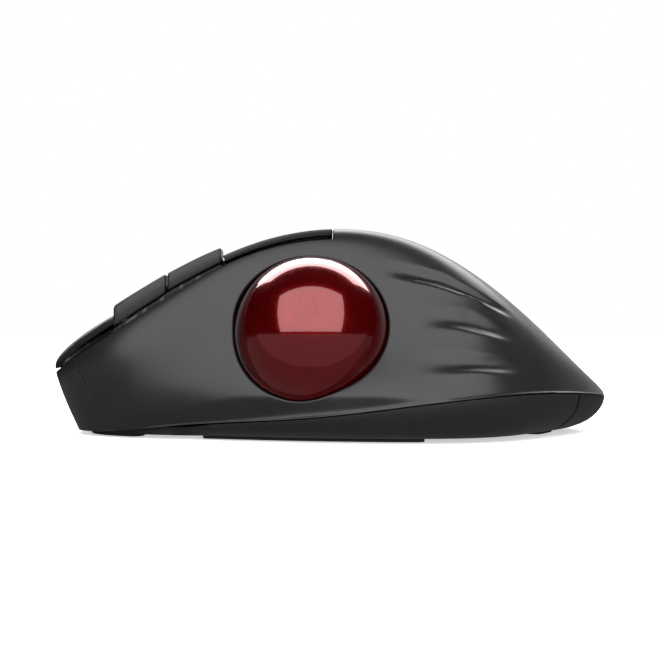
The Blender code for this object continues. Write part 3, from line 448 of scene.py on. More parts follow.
@dataclass
class BodySurface:
    """The outside of the mouse: rings of points at the seam, the wall and the shoulder, and a crest line."""

    thumb_seam: tuple[Point, ...] = (
        (-60.2, -4, 1.0), (-57.5, -15, 1.0), (-49, -23.5, 1.6), (-35, -29.5, 3.2), (-18, -36.5, 4.6),
        (0, -43.0, 6.2), (20, -46.0, 8.8), (39, -41.5, 10.6), (56, -24, 10.3), TAIL_TIP)
    thumb_wall: tuple[Point, ...] = (
        (-63.2, -4, 7.5), (-60, -16.5, 8), (-51.5, -25.5, 10.5), (-38, -30.5, 15.5), (-21, -33.3, 20.5),
        (-3, -34.0, 24.5), (17, -36, 26.5), (36, -34, 23.5), (54, -20.5, 17), TAIL_TIP)
    thumb_edge: tuple[Point, ...] = (
        (-65.6, -4, 14.2), (-62.5, -16.5, 15.8), (-54, -24.5, 20.8), (-40, -27.0, 29.6), (-23, -27.0, 39.4),
        (-3, -26.0, 44.8), (17, -26, 43.0), (35, -25, 34.2), (53, -15.5, 20.6), TAIL_TIP)
    crest: tuple[Point, ...] = (
        (-66.4, -4, 16.2), (-63, -4.5, 19.9), (-54.5, -5, 25.7), (-40, -5.5, 32.2), (-23, -6, 38.5),
        (-3, -6, 43.5), (16, -6, 42.9), (34, -5.5, 35.2), (52.5, -4, 21.7), TAIL_TIP)
    pinky_edge: tuple[Point, ...] = (
        (-65.6, -4, 14.2), (-62.5, 8.5, 15.8), (-54, 18.5, 20), (-40, 26.5, 25), (-23, 32, 29.5),
        (-3, 34, 32.5), (17, 33, 31), (35, 27, 25), (53, 13, 17), TAIL_TIP)
    pinky_wall: tuple[Point, ...] = (
        (-63.2, -4, 7.5), (-60, 10, 8), (-51.5, 22.5, 10.5), (-38, 32.5, 13.5), (-21, 40, 16.5),
        (-1, 44, 18.5), (19, 43.5, 18.5), (38, 35, 16), (55, 18, 13), TAIL_TIP)
    pinky_seam: tuple[Point, ...] = (
        (-60.2, -4, 1.0), (-57.5, 8, 1.0), (-49, 20.5, 2), (-35, 32.5, 3.8), (-18, 42.5, 5.2),
        (1, 48.5, 6.2), (21, 48.5, 7.6), (40, 39.5, 9), (56.5, 19.5, 9.4), TAIL_TIP)
    stations: tuple[float, ...] = (0, 12, 24, 40, 59, 80, 100, 121, 146, 172)
    girths: tuple[float, ...] = (0, 20, 40, 65, 90, 110, 130)
    tuck: tuple[float, ...] = (1.5, 2.2, 3.5, 5, 6.5, 8.5, 9.5, 10, 11, 12)
    base_z: float = 0.8
    edge: float = 40
    crest_girth: float = 65
    far_edge: float = 90
    far_seam: float = 130
    nose_to: float = 21.0
    lean: float = 4.0
    lean_to: float = 45.0
    deck_fill: Table = ((10, 0.45), (25, 0.6), (44, 1.0), (80, 0.8))

    def __post_init__(self) -> None:
        """Join the thumb side and the pinky side of each ring."""
        self.tail = self.stations[-1]
        self.ring = 2 * self.tail
        self.knots = list(self.stations) + [self.ring - s for s in self.stations[-2:0:-1]]
        pairs = ((self.thumb_seam, self.pinky_seam), (self.thumb_wall, self.pinky_wall),
                 (self.thumb_edge, self.pinky_edge), (self.crest, self.crest))
        self.rings = [np.array(near + far[-2:0:-1], float) for near, far in pairs]

    def skin(self, s: np.ndarray, t: np.ndarray) -> np.ndarray:
        """Points of the surface.

        Args:
            s: Distances along the mouse.
            t: Girths, from the thumb seam (0) over the crest to the pinky seam.

        Returns:
            One point for each pair.
        """
        s, t = np.broadcast_arrays(np.asarray(s, float), np.asarray(t, float))
        near = spline_weights(self.knots, s.ravel(), self.ring)
        far = spline_weights(self.knots, self.ring - s.ravel(), self.ring)
        columns = [near @ self.rings[k] for k in range(4)] + [far @ self.rings[k] for k in (2, 1, 0)]
        across = spline_weights(self.girths, t.ravel())
        return sum(across[:, k:k + 1] * columns[k] for k in range(7)).reshape(s.shape + (3,))

    def leaned(self, s: np.ndarray, t: np.ndarray) -> np.ndarray:
        """The surface with its cross lines leaning back towards the desk beside the nose cap.

        Args:
            s: Stations along the mouse.
            t: Girths across it.

        Returns:
            One point for each pair.
        """
        down = 1 - 2 * np.minimum(t, self.far_seam - t) / self.edge
        fade = np.clip((self.lean_to - s) / (self.lean_to - self.nose_to), 0, 1)
        return self.skin(s + self.lean * down * fade, t)

    def nose(self, u: np.ndarray, v: np.ndarray) -> np.ndarray:
        """Points of the wall round the nose: u below 0 is the thumb side, above 0 the pinky side.

        Args:
            u: Distances round the nose.
            v: Girths up from the desk.

        Returns:
            One point for each pair.
        """
        u, v = np.broadcast_arrays(np.asarray(u, float), np.asarray(v, float))
        lean = 1 + self.lean / self.nose_to * (1 - 2 * v / self.edge)
        return self.skin(np.abs(u) * lean, np.where(u <= 0, v, self.far_seam - v))

    def deck(self, s: np.ndarray, t: np.ndarray) -> np.ndarray:
        """The surface with its thumb shoulder filled out level with the ridge, for what overhangs it.

        Args:
            s: Stations along the mouse.
            t: Girths across it.

        Returns:
            One point for each pair.
        """
        s, t = np.broadcast_arrays(np.asarray(s, float), np.asarray(t, float))
        points = self.skin(s, t)
        marks, row = np.unique(s.ravel(), return_inverse=True)
        girths = np.linspace(self.edge, self.crest_girth, 51)
        heights = self.skin(marks[:, None], girths[None, :])[..., 2]
        level = heights.max(1)[row].reshape(s.shape)
        ridge = girths[heights.argmax(1)][row].reshape(s.shape)
        fill = np.interp(s, *zip(*self.deck_fill))
        points[..., 2] += np.where(t < ridge, (level - points[..., 2]) * fill, 0)
        return points

    def band(self, u: np.ndarray, v: np.ndarray) -> np.ndarray:
        """Points of the base's band: u runs round the mouse, v from the seam (0) to the desk (1).

        Args:
            u: Distances round the mouse.
            v: Places across the band.

        Returns:
            One point for each pair.
        """
        u, v = np.broadcast_arrays(np.asarray(u, float), np.asarray(v, float))
        weights = spline_weights(self.knots, u.ravel(), self.ring)
        seam = weights @ self.rings[0]
        step = spline_weights(self.knots, u.ravel() + 0.5, self.ring) @ self.rings[0] - seam
        inward = np.stack([step[:, 1], -step[:, 0]], 1)
        inward /= np.linalg.norm(inward, axis=1)[:, None]
        tuck = weights @ np.array(self.tuck + self.tuck[-2:0:-1])
        turn = v.ravel() * math.pi / 2
        plan = seam[:, :2] - inward * (tuck * (1 - np.cos(turn)))[:, None]
        height = seam[:, 2] - (seam[:, 2] - self.base_z) * np.sin(turn)
        return np.column_stack([plan, height]).reshape(u.shape + (3,))

    @staticmethod
    def normals(surface: Callable, u: np.ndarray, v: np.ndarray, step: float = 0.05) -> np.ndarray:
        """Unit normals of a surface, pointing out of the mouse.

        Args:
            surface: The surface, as a function of u and v.
            u: First coordinates.
            v: Second coordinates.
            step: How far apart the compared points lie.

        Returns:
            One unit vector for each pair.
        """
        n = np.cross(surface(u, v + step) - surface(u, v - step), surface(u + step, v) - surface(u - step, v))
        n /= np.maximum(np.linalg.norm(n, axis=-1), 1e-9)[..., None]
        outward = surface(u, v) - np.array((0, -4, 12))
        return n * np.where((n * outward).sum(-1) < 0, -1, 1)[..., None]

    def lengths(self, s: float, t: np.ndarray) -> np.ndarray:
        """Real lengths along the section at station s, at each of the girths t."""
        return np.append(0, np.cumsum(np.linalg.norm(np.diff(self.skin(s, t), axis=0), axis=1)))

    def girth_at(self, s: float, length: float) -> float:
        """The girth that lies a real length beyond the thumb shoulder, at station s.

        Args:
            s: The station.
            length: The real length in millimetres.

        Returns:
            The girth.
        """
        t = np.linspace(0, self.far_seam, 261)
        run = self.lengths(s, t)
        return float(np.interp(np.interp(self.edge, t, run) + length, run, t))

    def girth_before(self, s: float, length: float) -> float:
        """The girth that lies a real length before the pinky shoulder, at station s.

        Args:
            s: The station.
            length: The real length in millimetres.

        Returns:
            The girth.
        """
        t = np.linspace(self.crest_girth, self.far_edge, 120)
        run = self.lengths(s, t)
        return float(np.interp(run[-1] - length, run, t))

    def girth_where(self, s: float, y: float) -> float:
        """The girth at which the section at station s reaches the lengthwise plane y."""
        t = np.linspace(self.edge, self.far_edge, 201)
        return float(np.interp(y, self.skin(s, t)[:, 1], t))


BODY = BodySurface()


# --- Making meshes -------------------------------------------------------------------------------
def spaced(start: float, end: float, count: int) -> list[float]:
    """Evenly spaced values, both ends included."""
    return [float(x) for x in np.linspace(start, end, count)]


def by_step(start: float, end: float, step: float) -> list[float]:
    """Evenly spaced values about a step apart, both ends included."""
    return spaced(start, end, max(2, round(abs(end - start) / step) + 1))


def thicken(outer: np.ndarray, inner: np.ndarray, faces: Iterable[Sequence[int]]) -> bmesh.types.BMesh:
    """A closed solid between two matching sets of points.

    Args:
        outer: Points of the outer side.
        inner: Their partners on the inner side.
        faces: The outer side's faces, as point numbers.

    Returns:
        The solid, with a wall along every open edge.
    """
    bm = bmesh.new()
    top = [bm.verts.new(p) for p in outer]
    low = [bm.verts.new(p) for p in inner]
    faces = [tuple(face) for face in faces]
    directed = {(a, b) for face in faces for a, b in zip(face, face[1:] + face[:1])}
    for face in faces:
        bm.faces.new([top[i] for i in face])
        bm.faces.new([low[i] for i in reversed(face)])
    for a, b in directed:
        if (b, a) not in directed:
            bm.faces.new([top[b], top[a], low[a], low[b]])
    bmesh.ops.delete(bm, geom=[vert for vert in bm.verts if not vert.link_faces], context="VERTS")
    return bm


def sheet(surface: Callable, us: Sequence[float], rows: Callable[[float], Sequence[float]],
          outer: "float | Callable", inner: "float | Callable",
          keep: Optional[Callable[[int, int], bool]] = None, upright: bool = False) -> bmesh.types.BMesh:
    """A piece of a surface as a solid.

    Args:
        surface: The surface, as a function of u and v.
        us: The lines along u.
        rows: The lines along v, for each u.
        outer: The lift of the outer side, or a function of arrays u and v.
        inner: The lift of the inner side, likewise.
        keep: Which cells of the grid are there.
        upright: True if the thickness runs straight up instead of along the normal.

    Returns:
        The closed solid.
    """
    v = np.array([rows(u) for u in us], float)
    u = np.repeat(np.array(us, float)[:, None], v.shape[1], 1)
    points = surface(u, v)
    out = np.broadcast_to((0.0, 0.0, 1.0), points.shape) if upright else BODY.normals(surface, u, v)
    sides = []
    for lift in (outer, inner):
        height = lift(u, v) if callable(lift) else np.full(u.shape, float(lift))
        sides.append((points + out * height[..., None]).reshape(-1, 3))
    number = np.arange(u.size).reshape(u.shape)
    cells = [(i, j) for i in range(u.shape[0] - 1) for j in range(u.shape[1] - 1)
             if keep is None or keep(i, j)]
    faces = [(number[i, j], number[i + 1, j], number[i + 1, j + 1], number[i, j + 1]) for i, j in cells]
    return thicken(*sides, faces)


def round_edges(bm: bmesh.types.BMesh, width: float, segments: int = 3,
                where: Optional[Callable[[Vector], bool]] = None, angle: float = 50) -> None:
    """Round the sharp edges of a solid.

    Args:
        bm: The solid.
        width: The radius of the rounding.
        segments: How many faces make it.
        where: Which edges are rounded, by their middle point.
        angle: How sharp an edge has to be, in degrees.
    """
    bmesh.ops.recalc_face_normals(bm, faces=bm.faces)
    limit = math.radians(angle)
    edges = [edge for edge in bm.edges if edge.is_manifold and edge.calc_face_angle(0) > limit
             and (where is None or where((edge.verts[0].co + edge.verts[1].co) / 2))]
    bmesh.ops.bevel(bm, geom=edges, offset=width, offset_type="OFFSET", segments=segments, profile=0.5,
                    affect="EDGES", clamp_overlap=True)


def turned(centre: Vector, axis: Sequence[float], profile: Sequence[tuple[float, float]], sides: int,
           shape: Optional[Callable[[float, float, float], float]] = None) -> bmesh.types.BMesh:
    """A turned solid.

    Args:
        centre: A point on its axis.
        axis: The axis' direction.
        profile: A closed outline of (radius, height) points.
        sides: How many steps go round.
        shape: Changes a radius, from the angle, the radius and the height.

    Returns:
        The solid.
    """
    turn = Vector(axis).normalized().to_track_quat("Z", "Y").to_matrix().to_4x4()
    place = Matrix.Translation(centre) @ turn
    bm = bmesh.new()
    rings = []
    for r, h in profile:
        ring = []
        for a in (2 * math.pi * k / sides for k in range(sides)):
            radius = shape(a, r, h) if shape else r
            ring.append(bm.verts.new(place @ Vector((radius * math.cos(a), radius * math.sin(a), h))))
        rings.append(ring)
    closing = [] if profile[0][0] == 0 == profile[-1][0] else rings[:1]
    for a, b in zip(rings, rings[1:] + closing):
        for k in range(sides):
            bm.faces.new([a[k], a[(k + 1) % sides], b[(k + 1) % sides], b[k]])
    bmesh.ops.remove_doubles(bm, verts=bm.verts, dist=0.0005)
    return bm


def box(bm: bmesh.types.BMesh, low: Sequence[float], high: Sequence[float]) -> None:
    """Add a box between two corners.

    Args:
        bm: The mesh to add to.
        low: The corner with the lowest coordinates.
        high: The corner opposite to it.
    """
    low, high = Vector(low), Vector(high)
    shape = Matrix.Translation((low + high) / 2) @ Matrix.Diagonal((*(high - low), 1))
    bmesh.ops.create_cube(bm, size=1.0, matrix=shape)


def rod(bm: bmesh.types.BMesh, centre: Sequence[float], radius: float, length: float,
        sides: int = 48) -> None:
    """Add an upright cylinder."""
    bmesh.ops.create_cone(bm, cap_ends=True, segments=sides, radius1=radius, radius2=radius, depth=length,
                          matrix=Matrix.Translation(centre))


def boolean(target: bmesh.types.BMesh, tools: Sequence[Callable[[bmesh.types.BMesh], None]],
            operation: str = "DIFFERENCE") -> bmesh.types.BMesh:
    """Cut solids out of another, or join them to it.

    Args:
        target: The solid to work on, which is used up.
        tools: Functions that each fill in one tool of solids that don't touch each other.
        operation: DIFFERENCE or UNION.

    Returns:
        The result.
    """
    things = []
    bmesh.ops.recalc_face_normals(target, faces=target.faces)
    for make in (None, *tools):
        bm = target if make is None else bmesh.new()
        if make is not None:
            make(bm)
            bmesh.ops.recalc_face_normals(bm, faces=bm.faces)
        mesh = bpy.data.meshes.new("cut")
        bm.to_mesh(mesh)
        bm.free()
        things.append(bpy.data.objects.new("cut", mesh))
        bpy.context.scene.collection.objects.link(things[-1])
    for tool in things[1:]:
        step = things[0].modifiers.new("cut", "BOOLEAN")
        step.operation, step.solver, step.object = operation, "EXACT", tool
    bpy.context.view_layer.update()
    result = bmesh.new()
    shaped = bpy.data.meshes.new_from_object(things[0].evaluated_get(bpy.context.evaluated_depsgraph_get()))
    result.from_mesh(shaped)
    for thing in things:
        bpy.data.objects.remove(thing)
    bpy.data.meshes.remove(shaped)
    return result


def piece(name: str, bm: bmesh.types.BMesh, finish: Finishes, body: str,
          stands_for: Sequence[str] = (), smooth: float = 40) -> bpy.types.Object:
    """Turn a solid into a dressed piece that rides on a body.

    Args:
        name: The piece's name.
        bm: Its solid, in millimetres, which is used up.
        finish: What it is made of.
        body: The body that it moves with.
        stands_for: The nodes that it replaces.
        smooth: Edges sharper than this stay sharp, in degrees.

    Returns:
        The object.
    """
    bmesh.ops.recalc_face_normals(bm, faces=bm.faces)
    if bm.calc_volume(signed=True) < 0:
        bmesh.ops.reverse_faces(bm, faces=bm.faces)
    bmesh.ops.scale(bm, vec=(MM, MM, MM), verts=bm.verts)
    mesh = bpy.data.meshes.new(name)
    bm.to_mesh(mesh)
    bm.free()
    mesh.shade_smooth()
    mesh.set_sharp_from_angle(angle=math.radians(smooth))
    mesh.materials.append(finish.value.material())
    thing = bpy.data.objects.new(name, mesh)
    bpy.context.scene.collection.objects.link(thing)
    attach(thing, body)
    if stands_for:
        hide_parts(*stands_for)
    log.info("%s: %d faces, on %s", name, len(mesh.polygons), body)
    return thing


# --- Shells --------------------------------------------------------------------------------------
@dataclass(frozen=True)
class GripGroove:
    """A shallow swoosh in the thumb wall between two crisp lines, with a low crest under the lower one."""

    upper: Table
    lower: Table
    depth: float
    crest: float = 0.35
    crest_reach: float = 1.5
    fade_in: float = 14.0
    fade_out: float = 9.0

    def sink(self, x: np.ndarray, z: np.ndarray) -> np.ndarray:
        """How far the surface lies below the wall at places (x, z).

        Args:
            x: Places along the mouse.
            z: Heights over the desk.

        Returns:
            The depths in millimetres.
        """
        start, end = self.upper[0][0], self.upper[-1][0]
        top = np.interp(x, *zip(*self.upper))
        foot = np.interp(x, *zip(*self.lower))
        across = (top - z) / np.maximum(top - foot, 0.5)
        inside = np.sin(np.pi * np.clip(across, 0, 1)) - self.crest * np.clip(across, 0, 1) ** 2
        below = -self.crest * np.exp(-np.maximum(0, foot - z) / self.crest_reach)
        lead = np.clip((x - start) / self.fade_in, 0, 1)
        tail = np.clip((end - x) / self.fade_out, 0, 1)
        fade = lead * lead * (3 - 2 * lead) * tail * tail * (3 - 2 * tail)
        return self.depth * fade * np.where(z > foot, inside, below)


@dataclass
class PalmShell:
    """The thumb wall, palm and pinky wall in one moulding, with the ball opening and three grip grooves."""

    thickness: float = 2.0
    nose_end: float = 21.3
    window_end: float = 83.9
    tail_end: float = 166.0
    patch: tuple[float, float] = (54.0, 103.0)
    patch_middle: tuple[float, float] = (78.5, 19.5)
    fine_to: float = 132.0
    tail_taper: tuple[float, float] = (18.0, 1.6)
    groove_room: float = 8.0
    opening: tuple[float, float] = (-4.3, 25.9)
    opening_radii: tuple[float, float] = (17.0, 15.0)
    ball: Point = (-4.0, -32.0, 23.8)
    ball_room: float = 17.25
    lip: float = 0.55
    swell: Table = (
        (-50, 0.0), (-44, 1.1), (-20, 1.6), (-4, 2.1), (10, 1.7), (26, 0.0))
    swell_at: Table = ((-47, 5.0), (-43, 6.0), (-18, 10.3), (12, 10.3))
    seam_at: Table = ((-47, 2.6), (-18, 4.9), (0, 6.2), (28, 9.3))
    swell_reach: float = 8.5
    flare: tuple[float, float] = (0.22, 0.8)
    flare_from: float = 29.3
    layers: int = 18
    grooves: tuple[GripGroove, ...] = (
        GripGroove(((9.4, 40.9), (25.4, 37.1), (34.7, 32.2), (41.5, 28.0)),
                   ((9.4, 36.6), (15.5, 35.6), (23.2, 34.2), (31.2, 31.8), (41.5, 26.5)), 0.9),
        GripGroove(((17.5, 29.9), (30.4, 28.7), (38.5, 25.6), (41.5, 24.0)),
                   ((17.5, 25.0), (26.7, 24.7), (34.4, 23.2), (41.5, 21.2)), 0.9),
        GripGroove(((17.0, 19.9), (28.1, 19.8), (36.0, 18.9), (43.0, 17.8)),
                   ((17.0, 14.6), (31.0, 15.4), (43.0, 14.7)), 0.8))

    def build(self) -> None:
        """Lay the grid, open the ball's way, sink the grooves and give it thickness."""
        s_lines = (by_step(self.nose_end, self.patch[0], 1.15)
                   + by_step(self.patch[0], self.window_end, 1.0)[1:]
                   + by_step(self.window_end, self.patch[1], 1.0)[1:]
                   + by_step(self.patch[1], self.fine_to, 0.65)[1:]
                   + by_step(self.fine_to, self.tail_end, 1.3)[1:])
        t_lines = ([0, 0.4, 0.8, 1.4] + by_step(2.2, BODY.edge, 0.8)
                   + by_step(BODY.edge, BODY.far_edge, 1.25)[1:]
                   + by_step(BODY.far_edge, BODY.far_seam - 1.4, 1.2)[1:] + [BODY.far_seam])
        window = s_lines.index(self.window_end)
        first, last = s_lines.index(self.patch[0]), s_lines.index(self.patch[1])
        edge, far = t_lines.index(BODY.edge), t_lines.index(BODY.far_edge)
        places: list[tuple[float, float]] = []
        numbers: dict[tuple[int, int], int] = {}

        def number(i: int, j: int) -> int:
            """The point number of a crossing of the grid.

            Args:
                i: The line's number along the mouse.
                j: The line's number across it.

            Returns:
                The point's number.
            """
            if (i, j) not in numbers:
                numbers[i, j] = len(places)
                places.append((s_lines[i], t_lines[j]))
            return numbers[i, j]

        faces = [(number(i, j), number(i + 1, j), number(i + 1, j + 1), number(i, j + 1))
                 for i in range(len(s_lines) - 1) for j in range(len(t_lines) - 1)
                 if not (i < window and edge <= j < far) and not (first <= i < last and j < edge)]
        border = ([(i, 0) for i in range(first, last)] + [(last, j) for j in range(edge)]
                  + [(i, edge) for i in range(last, first, -1)] + [(first, j) for j in range(edge, 0, -1)])
        rim = [number(i, j) for i, j in border]
        outside = np.array([places[n] for n in rim])
        rows, drops = self.opening_rows(outside)
        lifts = [0.0] * len(places)
        previous = rim
        for row, drop in zip(rows, drops):
            current = list(range(len(places), len(places) + len(rim)))
            places.extend(map(tuple, row))
            lifts.extend([-drop] * len(rim))
            for k in range(len(rim)):
                n = (k + 1) % len(rim)
                faces.append((previous[k], previous[n], current[n], current[k]))
            previous = current
        s, t = np.array(places).T
        points = BODY.leaned(s, t)
        out = BODY.normals(BODY.leaned, s, t)
        level = (t == 0) | (t == BODY.far_seam)
        out[level, 2] = 0
        out[level] /= np.linalg.norm(out[level], axis=1)[:, None]
        sunk = sum(groove.sink(points[:, 0], points[:, 2]) for groove in self.grooves)
        sunk = np.where(t < BODY.edge + self.groove_room, sunk, 0) - self.swelling(points, t)
        sunk -= self.flare[0] * np.clip(1 - t / self.flare[1], 0, 1) ** 2 * (s > self.flare_from)
        wall = self.thickness * np.minimum(1, ((BODY.tail - s) / self.tail_taper[0]) ** self.tail_taper[1])
        outer = points + out * (np.array(lifts) - sunk)[:, None]
        inner = points - out * (wall + sunk * 0.5)[:, None]
        bm = thicken(outer, inner, faces)
        round_edges(bm, 0.14, 2, lambda p: p.x < 50 and self.opening_gap(np.array([p]))[0] > 0.2)
        piece("palm_shell", bm, Finishes.SHELL, "body", ["upper_shell"], smooth=60)

    def swelling(self, points: np.ndarray, t: np.ndarray) -> np.ndarray:
        """How far the wall stands out under the ball, so that its lip covers the ball's foot.

        Args:
            points: Points of the wall.
            t: Girths across it.

        Returns:
            The lifts in millimetres.
        """
        x, z = points[:, 0], points[:, 2]
        size, top, foot = (np.interp(x, *zip(*line)) for line in (self.swell, self.swell_at, self.seam_at))
        near = np.clip((z - foot) / (top - foot), 0, 1)
        upward = np.maximum(0, z - top) / self.swell_reach
        return np.where(t < BODY.edge, size * near * near * (3 - 2 * near) * np.exp(-upward**2), 0)

    def opening_gap(self, points: np.ndarray) -> np.ndarray:
        """Below 0 inside the ball's way through the wall, above 0 outside it.

        Args:
            points: Points of the wall.

        Returns:
            One value for each point.
        """
        across = (points[:, 0] - self.opening[0]) / self.opening_radii[0]
        upward = (points[:, 2] - self.opening[1]) / self.opening_radii[1]
        room = np.linalg.norm(points - np.array(self.ball), axis=1) / self.ball_room
        return np.minimum(across**2 + upward**2, room**2) - 1

    def opening_rows(self, outside: np.ndarray) -> tuple[list[np.ndarray], list[float]]:
        """Rows of places from the patch's border in to the rounded lip of the opening.

        Args:
            outside: The border's places.

        Returns:
            The rows, outermost first, and how far each one is sunk.
        """
        centre = np.array(self.patch_middle)
        low, high = np.zeros(len(outside)), np.ones(len(outside))
        for _ in range(30):
            middle = (low + high) / 2
            place = centre + (outside - centre) * middle[:, None]
            points = BODY.skin(*place.T)
            out = BODY.normals(BODY.skin, *place.T)
            points = points + out * self.swelling(points, place[:, 1])[:, None]
            inside = self.opening_gap(points) < 0
            low, high = np.where(inside, middle, low), np.where(inside, high, middle)
        start = high
        ends = [BODY.skin(*(centre + (outside - centre) * f[:, None]).T)
                for f in (start, np.ones(len(start)))]
        reach = np.linalg.norm(ends[1] - ends[0], axis=1)
        rounding = start + (1 - start) * self.lip / reach
        rows, drops = [], []
        for k in range(1, self.layers + 1):
            f = (1 - k / self.layers) ** 1.15
            rows.append(rounding + (1 - rounding) * f)
            drops.append(0.0)
        for k in range(1, 5):
            turn = k * math.pi / 8
            rows.append(rounding + (start - rounding) * math.sin(turn))
            drops.append(self.lip * (1 - math.cos(turn)))
        return [centre + (outside - centre) * row[:, None] for row in rows], drops


@dataclass
class EndCaps:
    """The cap over the nose and the curved cap under the tail."""

    nose_half: float = 21.0
    nose_wall: float = 2.0
    tail_from: float = 148.0
    tail_wall: float = 1.7

    def build(self) -> None:
        """Make both caps with rounded edges."""
        us = by_step(-self.nose_half, self.nose_half, 0.8)
        bm = sheet(BODY.nose, us, lambda u: by_step(0, BODY.edge, 1.6), 0, -self.nose_wall)
        round_edges(bm, 0.08)
        piece("nose_cover", bm, Finishes.SHELL, "body", ["nose_cap"])
        bm = sheet(BODY.band, by_step(self.tail_from, BODY.ring - self.tail_from, 0.8),
                   lambda u: spaced(0.012, 0.93, 16), 0, -self.tail_wall)
        round_edges(bm, 0.1)
        piece("tail_cover", bm, Finishes.BASE, "body", ["tail_cap"])

@dataclass
class BaseTray:
    """The base with its band, battery opening, screw wells and windows, and the four glide feet."""

    wall: float = 2.0
    shell: float = 2.0
    cap_from: float = 147.6
    cap_wall: float = 1.7
    foot_top: float = 0.65
    door: tuple[tuple[float, float], tuple[float, float]] = ((-20.0, 5.0), (34.0, 29.0))
    screws: Table = ((-50.5, -13.0), (-50.5, 7.0), (42.0, -16.0), (42.0, 13.0))
    eject: tuple[float, float, float] = (-4.0, -25.5, 4.2)
    power: tuple[float, float] = (-32.0, 6.0)
    pair: tuple[float, float] = (-32.0, -7.0)
    feet: tuple[tuple[str, str, float, float, float, float], ...] = (
        ("front_glide", "front_foot", -31, 27, 1.5, 5.0), ("thumb_glide", "thumb_foot", 44, 101, 0.6, 3.2),
        ("pinky_glide", "pinky_foot", 244, 298, 0.8, 5.0), ("rear_glide", "rear_foot", 150, 194, 0.6, 5.0))

    def build(self) -> None:
        """Make the base and its feet."""
        base = self.tray()
        z = (BODY.base_z - 1, BODY.base_z + self.wall + 1)
        walls = ((-22.0, -19.9), (33.05, 35.5))
        base = boolean(base, [
            lambda b: box(b, (*self.door[0], z[0]), (*self.door[1], z[1])),
            lambda b: [rod(b, (x, y, 1.8), 1.4, 4, 24) for x, y in self.screws],
            lambda b: [rod(b, (x, y, 0.7), 2.6, 2.9, 32) for x, y in self.screws],
            lambda b: (rod(b, (*self.eject[:2], 1.8), self.eject[2], 6, 64),
                       box(b, (self.power[0] - 4.6, self.power[1] - 2.1, -1),
                           (self.power[0] + 4.6, self.power[1] + 2.1, 4)),
                       rod(b, (*self.pair, 1.8), 2.4, 6, 36))])
        base = boolean(base, [lambda b: [box(b, (x0, 13, 2.72), (x1, 28, 15)) for x0, x1 in walls]], "UNION")
        piece("base_tray", base, Finishes.BASE, "body", ["base_shell"])
        for name, node, start, end, inset, width in self.feet:
            piece(name, self.foot(start, end, inset, width), Finishes.GLIDE, "body", [node])

    def tray(self) -> bmesh.types.BMesh:
        """The floor with its slanted band up to the seam, drawn in under the two end caps.

        Returns:
            The solid.
        """
        u = np.array(spaced(0, BODY.ring, 301)[:-1])
        seam = BODY.band(u, np.zeros(len(u)))
        inward = self.inward(u)
        free = np.clip((seam[:, 2] - 3.2) / 0.8, 0, 1)
        under_tail = (u > self.cap_from) & (u < BODY.ring - self.cap_from)
        floor_top = BODY.base_z + self.wall
        footprint = BODY.band(u, np.ones(len(u)))[:, :2]
        loops = []
        for v in spaced(0, 1, 13):
            band = BODY.band(u, np.full(len(u), v))
            out = BODY.normals(BODY.band, u, np.full(len(u), max(v, 0.05)), 0.02)
            inset = seam[:, :2] + inward * (self.shell + 0.9)
            plan = inset + (band[:, :2] - inset) * free[:, None]
            flat_z = BODY.base_z + (1 - v) * (self.wall - 0.1)
            height = flat_z + (band[:, 2] - GAP * max(0, 1 - 2 * v) - flat_z) * free
            loop = np.column_stack([plan, height])
            if v > 0.5:
                shelf = seam[:, :2] + (footprint - seam[:, :2]) * 0.95
                top = BODY.base_z + (floor_top + 0.45 - BODY.base_z) * (1 - (v - 0.5) / 0.5)
                shelf = np.column_stack([shelf, np.full(len(u), top)])
            else:
                shelf = band - out * (self.cap_wall + GAP) - (0, 0, 3 * GAP * (v == 0))
            loops.append(np.where(under_tail[:, None], shelf, loop))
        rim = loops[0].copy()
        rim[:, :2] += inward * self.wall
        rim[:, 2] = np.maximum(rim[:, 2], floor_top + 0.3)
        floor = loops[-1].copy()
        floor[:, :2] += inward * self.wall
        floor[:, 2] = floor_top
        bm = bmesh.new()
        rings = [[bm.verts.new(p) for p in loop] for loop in [floor, rim] + loops]
        for a, b in zip(rings, rings[1:]):
            for k in range(len(u)):
                bm.faces.new([a[k], a[(k + 1) % len(u)], b[(k + 1) % len(u)], b[k]])
        bm.faces.new(rings[-1])
        bm.faces.new(rings[0])
        return bm

    @staticmethod
    def inward(u: np.ndarray) -> np.ndarray:
        """Unit directions in plan, from the seam into the mouse."""
        inward = -BODY.normals(BODY.band, u, np.full(len(u), 0.5), 0.02)[:, :2]
        return inward / np.linalg.norm(inward, axis=1)[:, None]

    def foot(self, start: float, end: float, inset: float, width: float) -> bmesh.types.BMesh:
        """A glide foot: a rounded strip that follows the edge of the flat bottom.

        Args:
            start: Where it starts, round the mouse.
            end: Where it ends.
            inset: Its distance from the edge of the flat bottom.
            width: Its width.

        Returns:
            The solid.
        """
        u = np.array(by_step(start, end, 0.9))
        edge = BODY.band(u, np.ones(len(u)))[:, :2]
        across = spaced(0, 1, 5)
        corner = 1.4
        run = np.minimum(u - start, end - u)
        draw = corner - np.sqrt(np.maximum(0, corner**2 - np.maximum(0, corner - run) ** 2))
        inward = self.inward(u)
        plan = np.stack([edge + inward * (inset + draw + (width - 2 * draw) * f)[:, None] for f in across], 1)
        points = plan.reshape(-1, 2)
        number = np.arange(len(points)).reshape(len(u), len(across))
        faces = [(number[i, j], number[i + 1, j], number[i + 1, j + 1], number[i, j + 1])
                 for i in range(len(u) - 1) for j in range(len(across) - 1)]
        low = np.column_stack([points, np.zeros(len(points))])
        top = np.column_stack([points, np.full(len(points), self.foot_top)])
        bm = thicken(low, top, faces)
        round_edges(bm, 0.12, 2)
        return bm


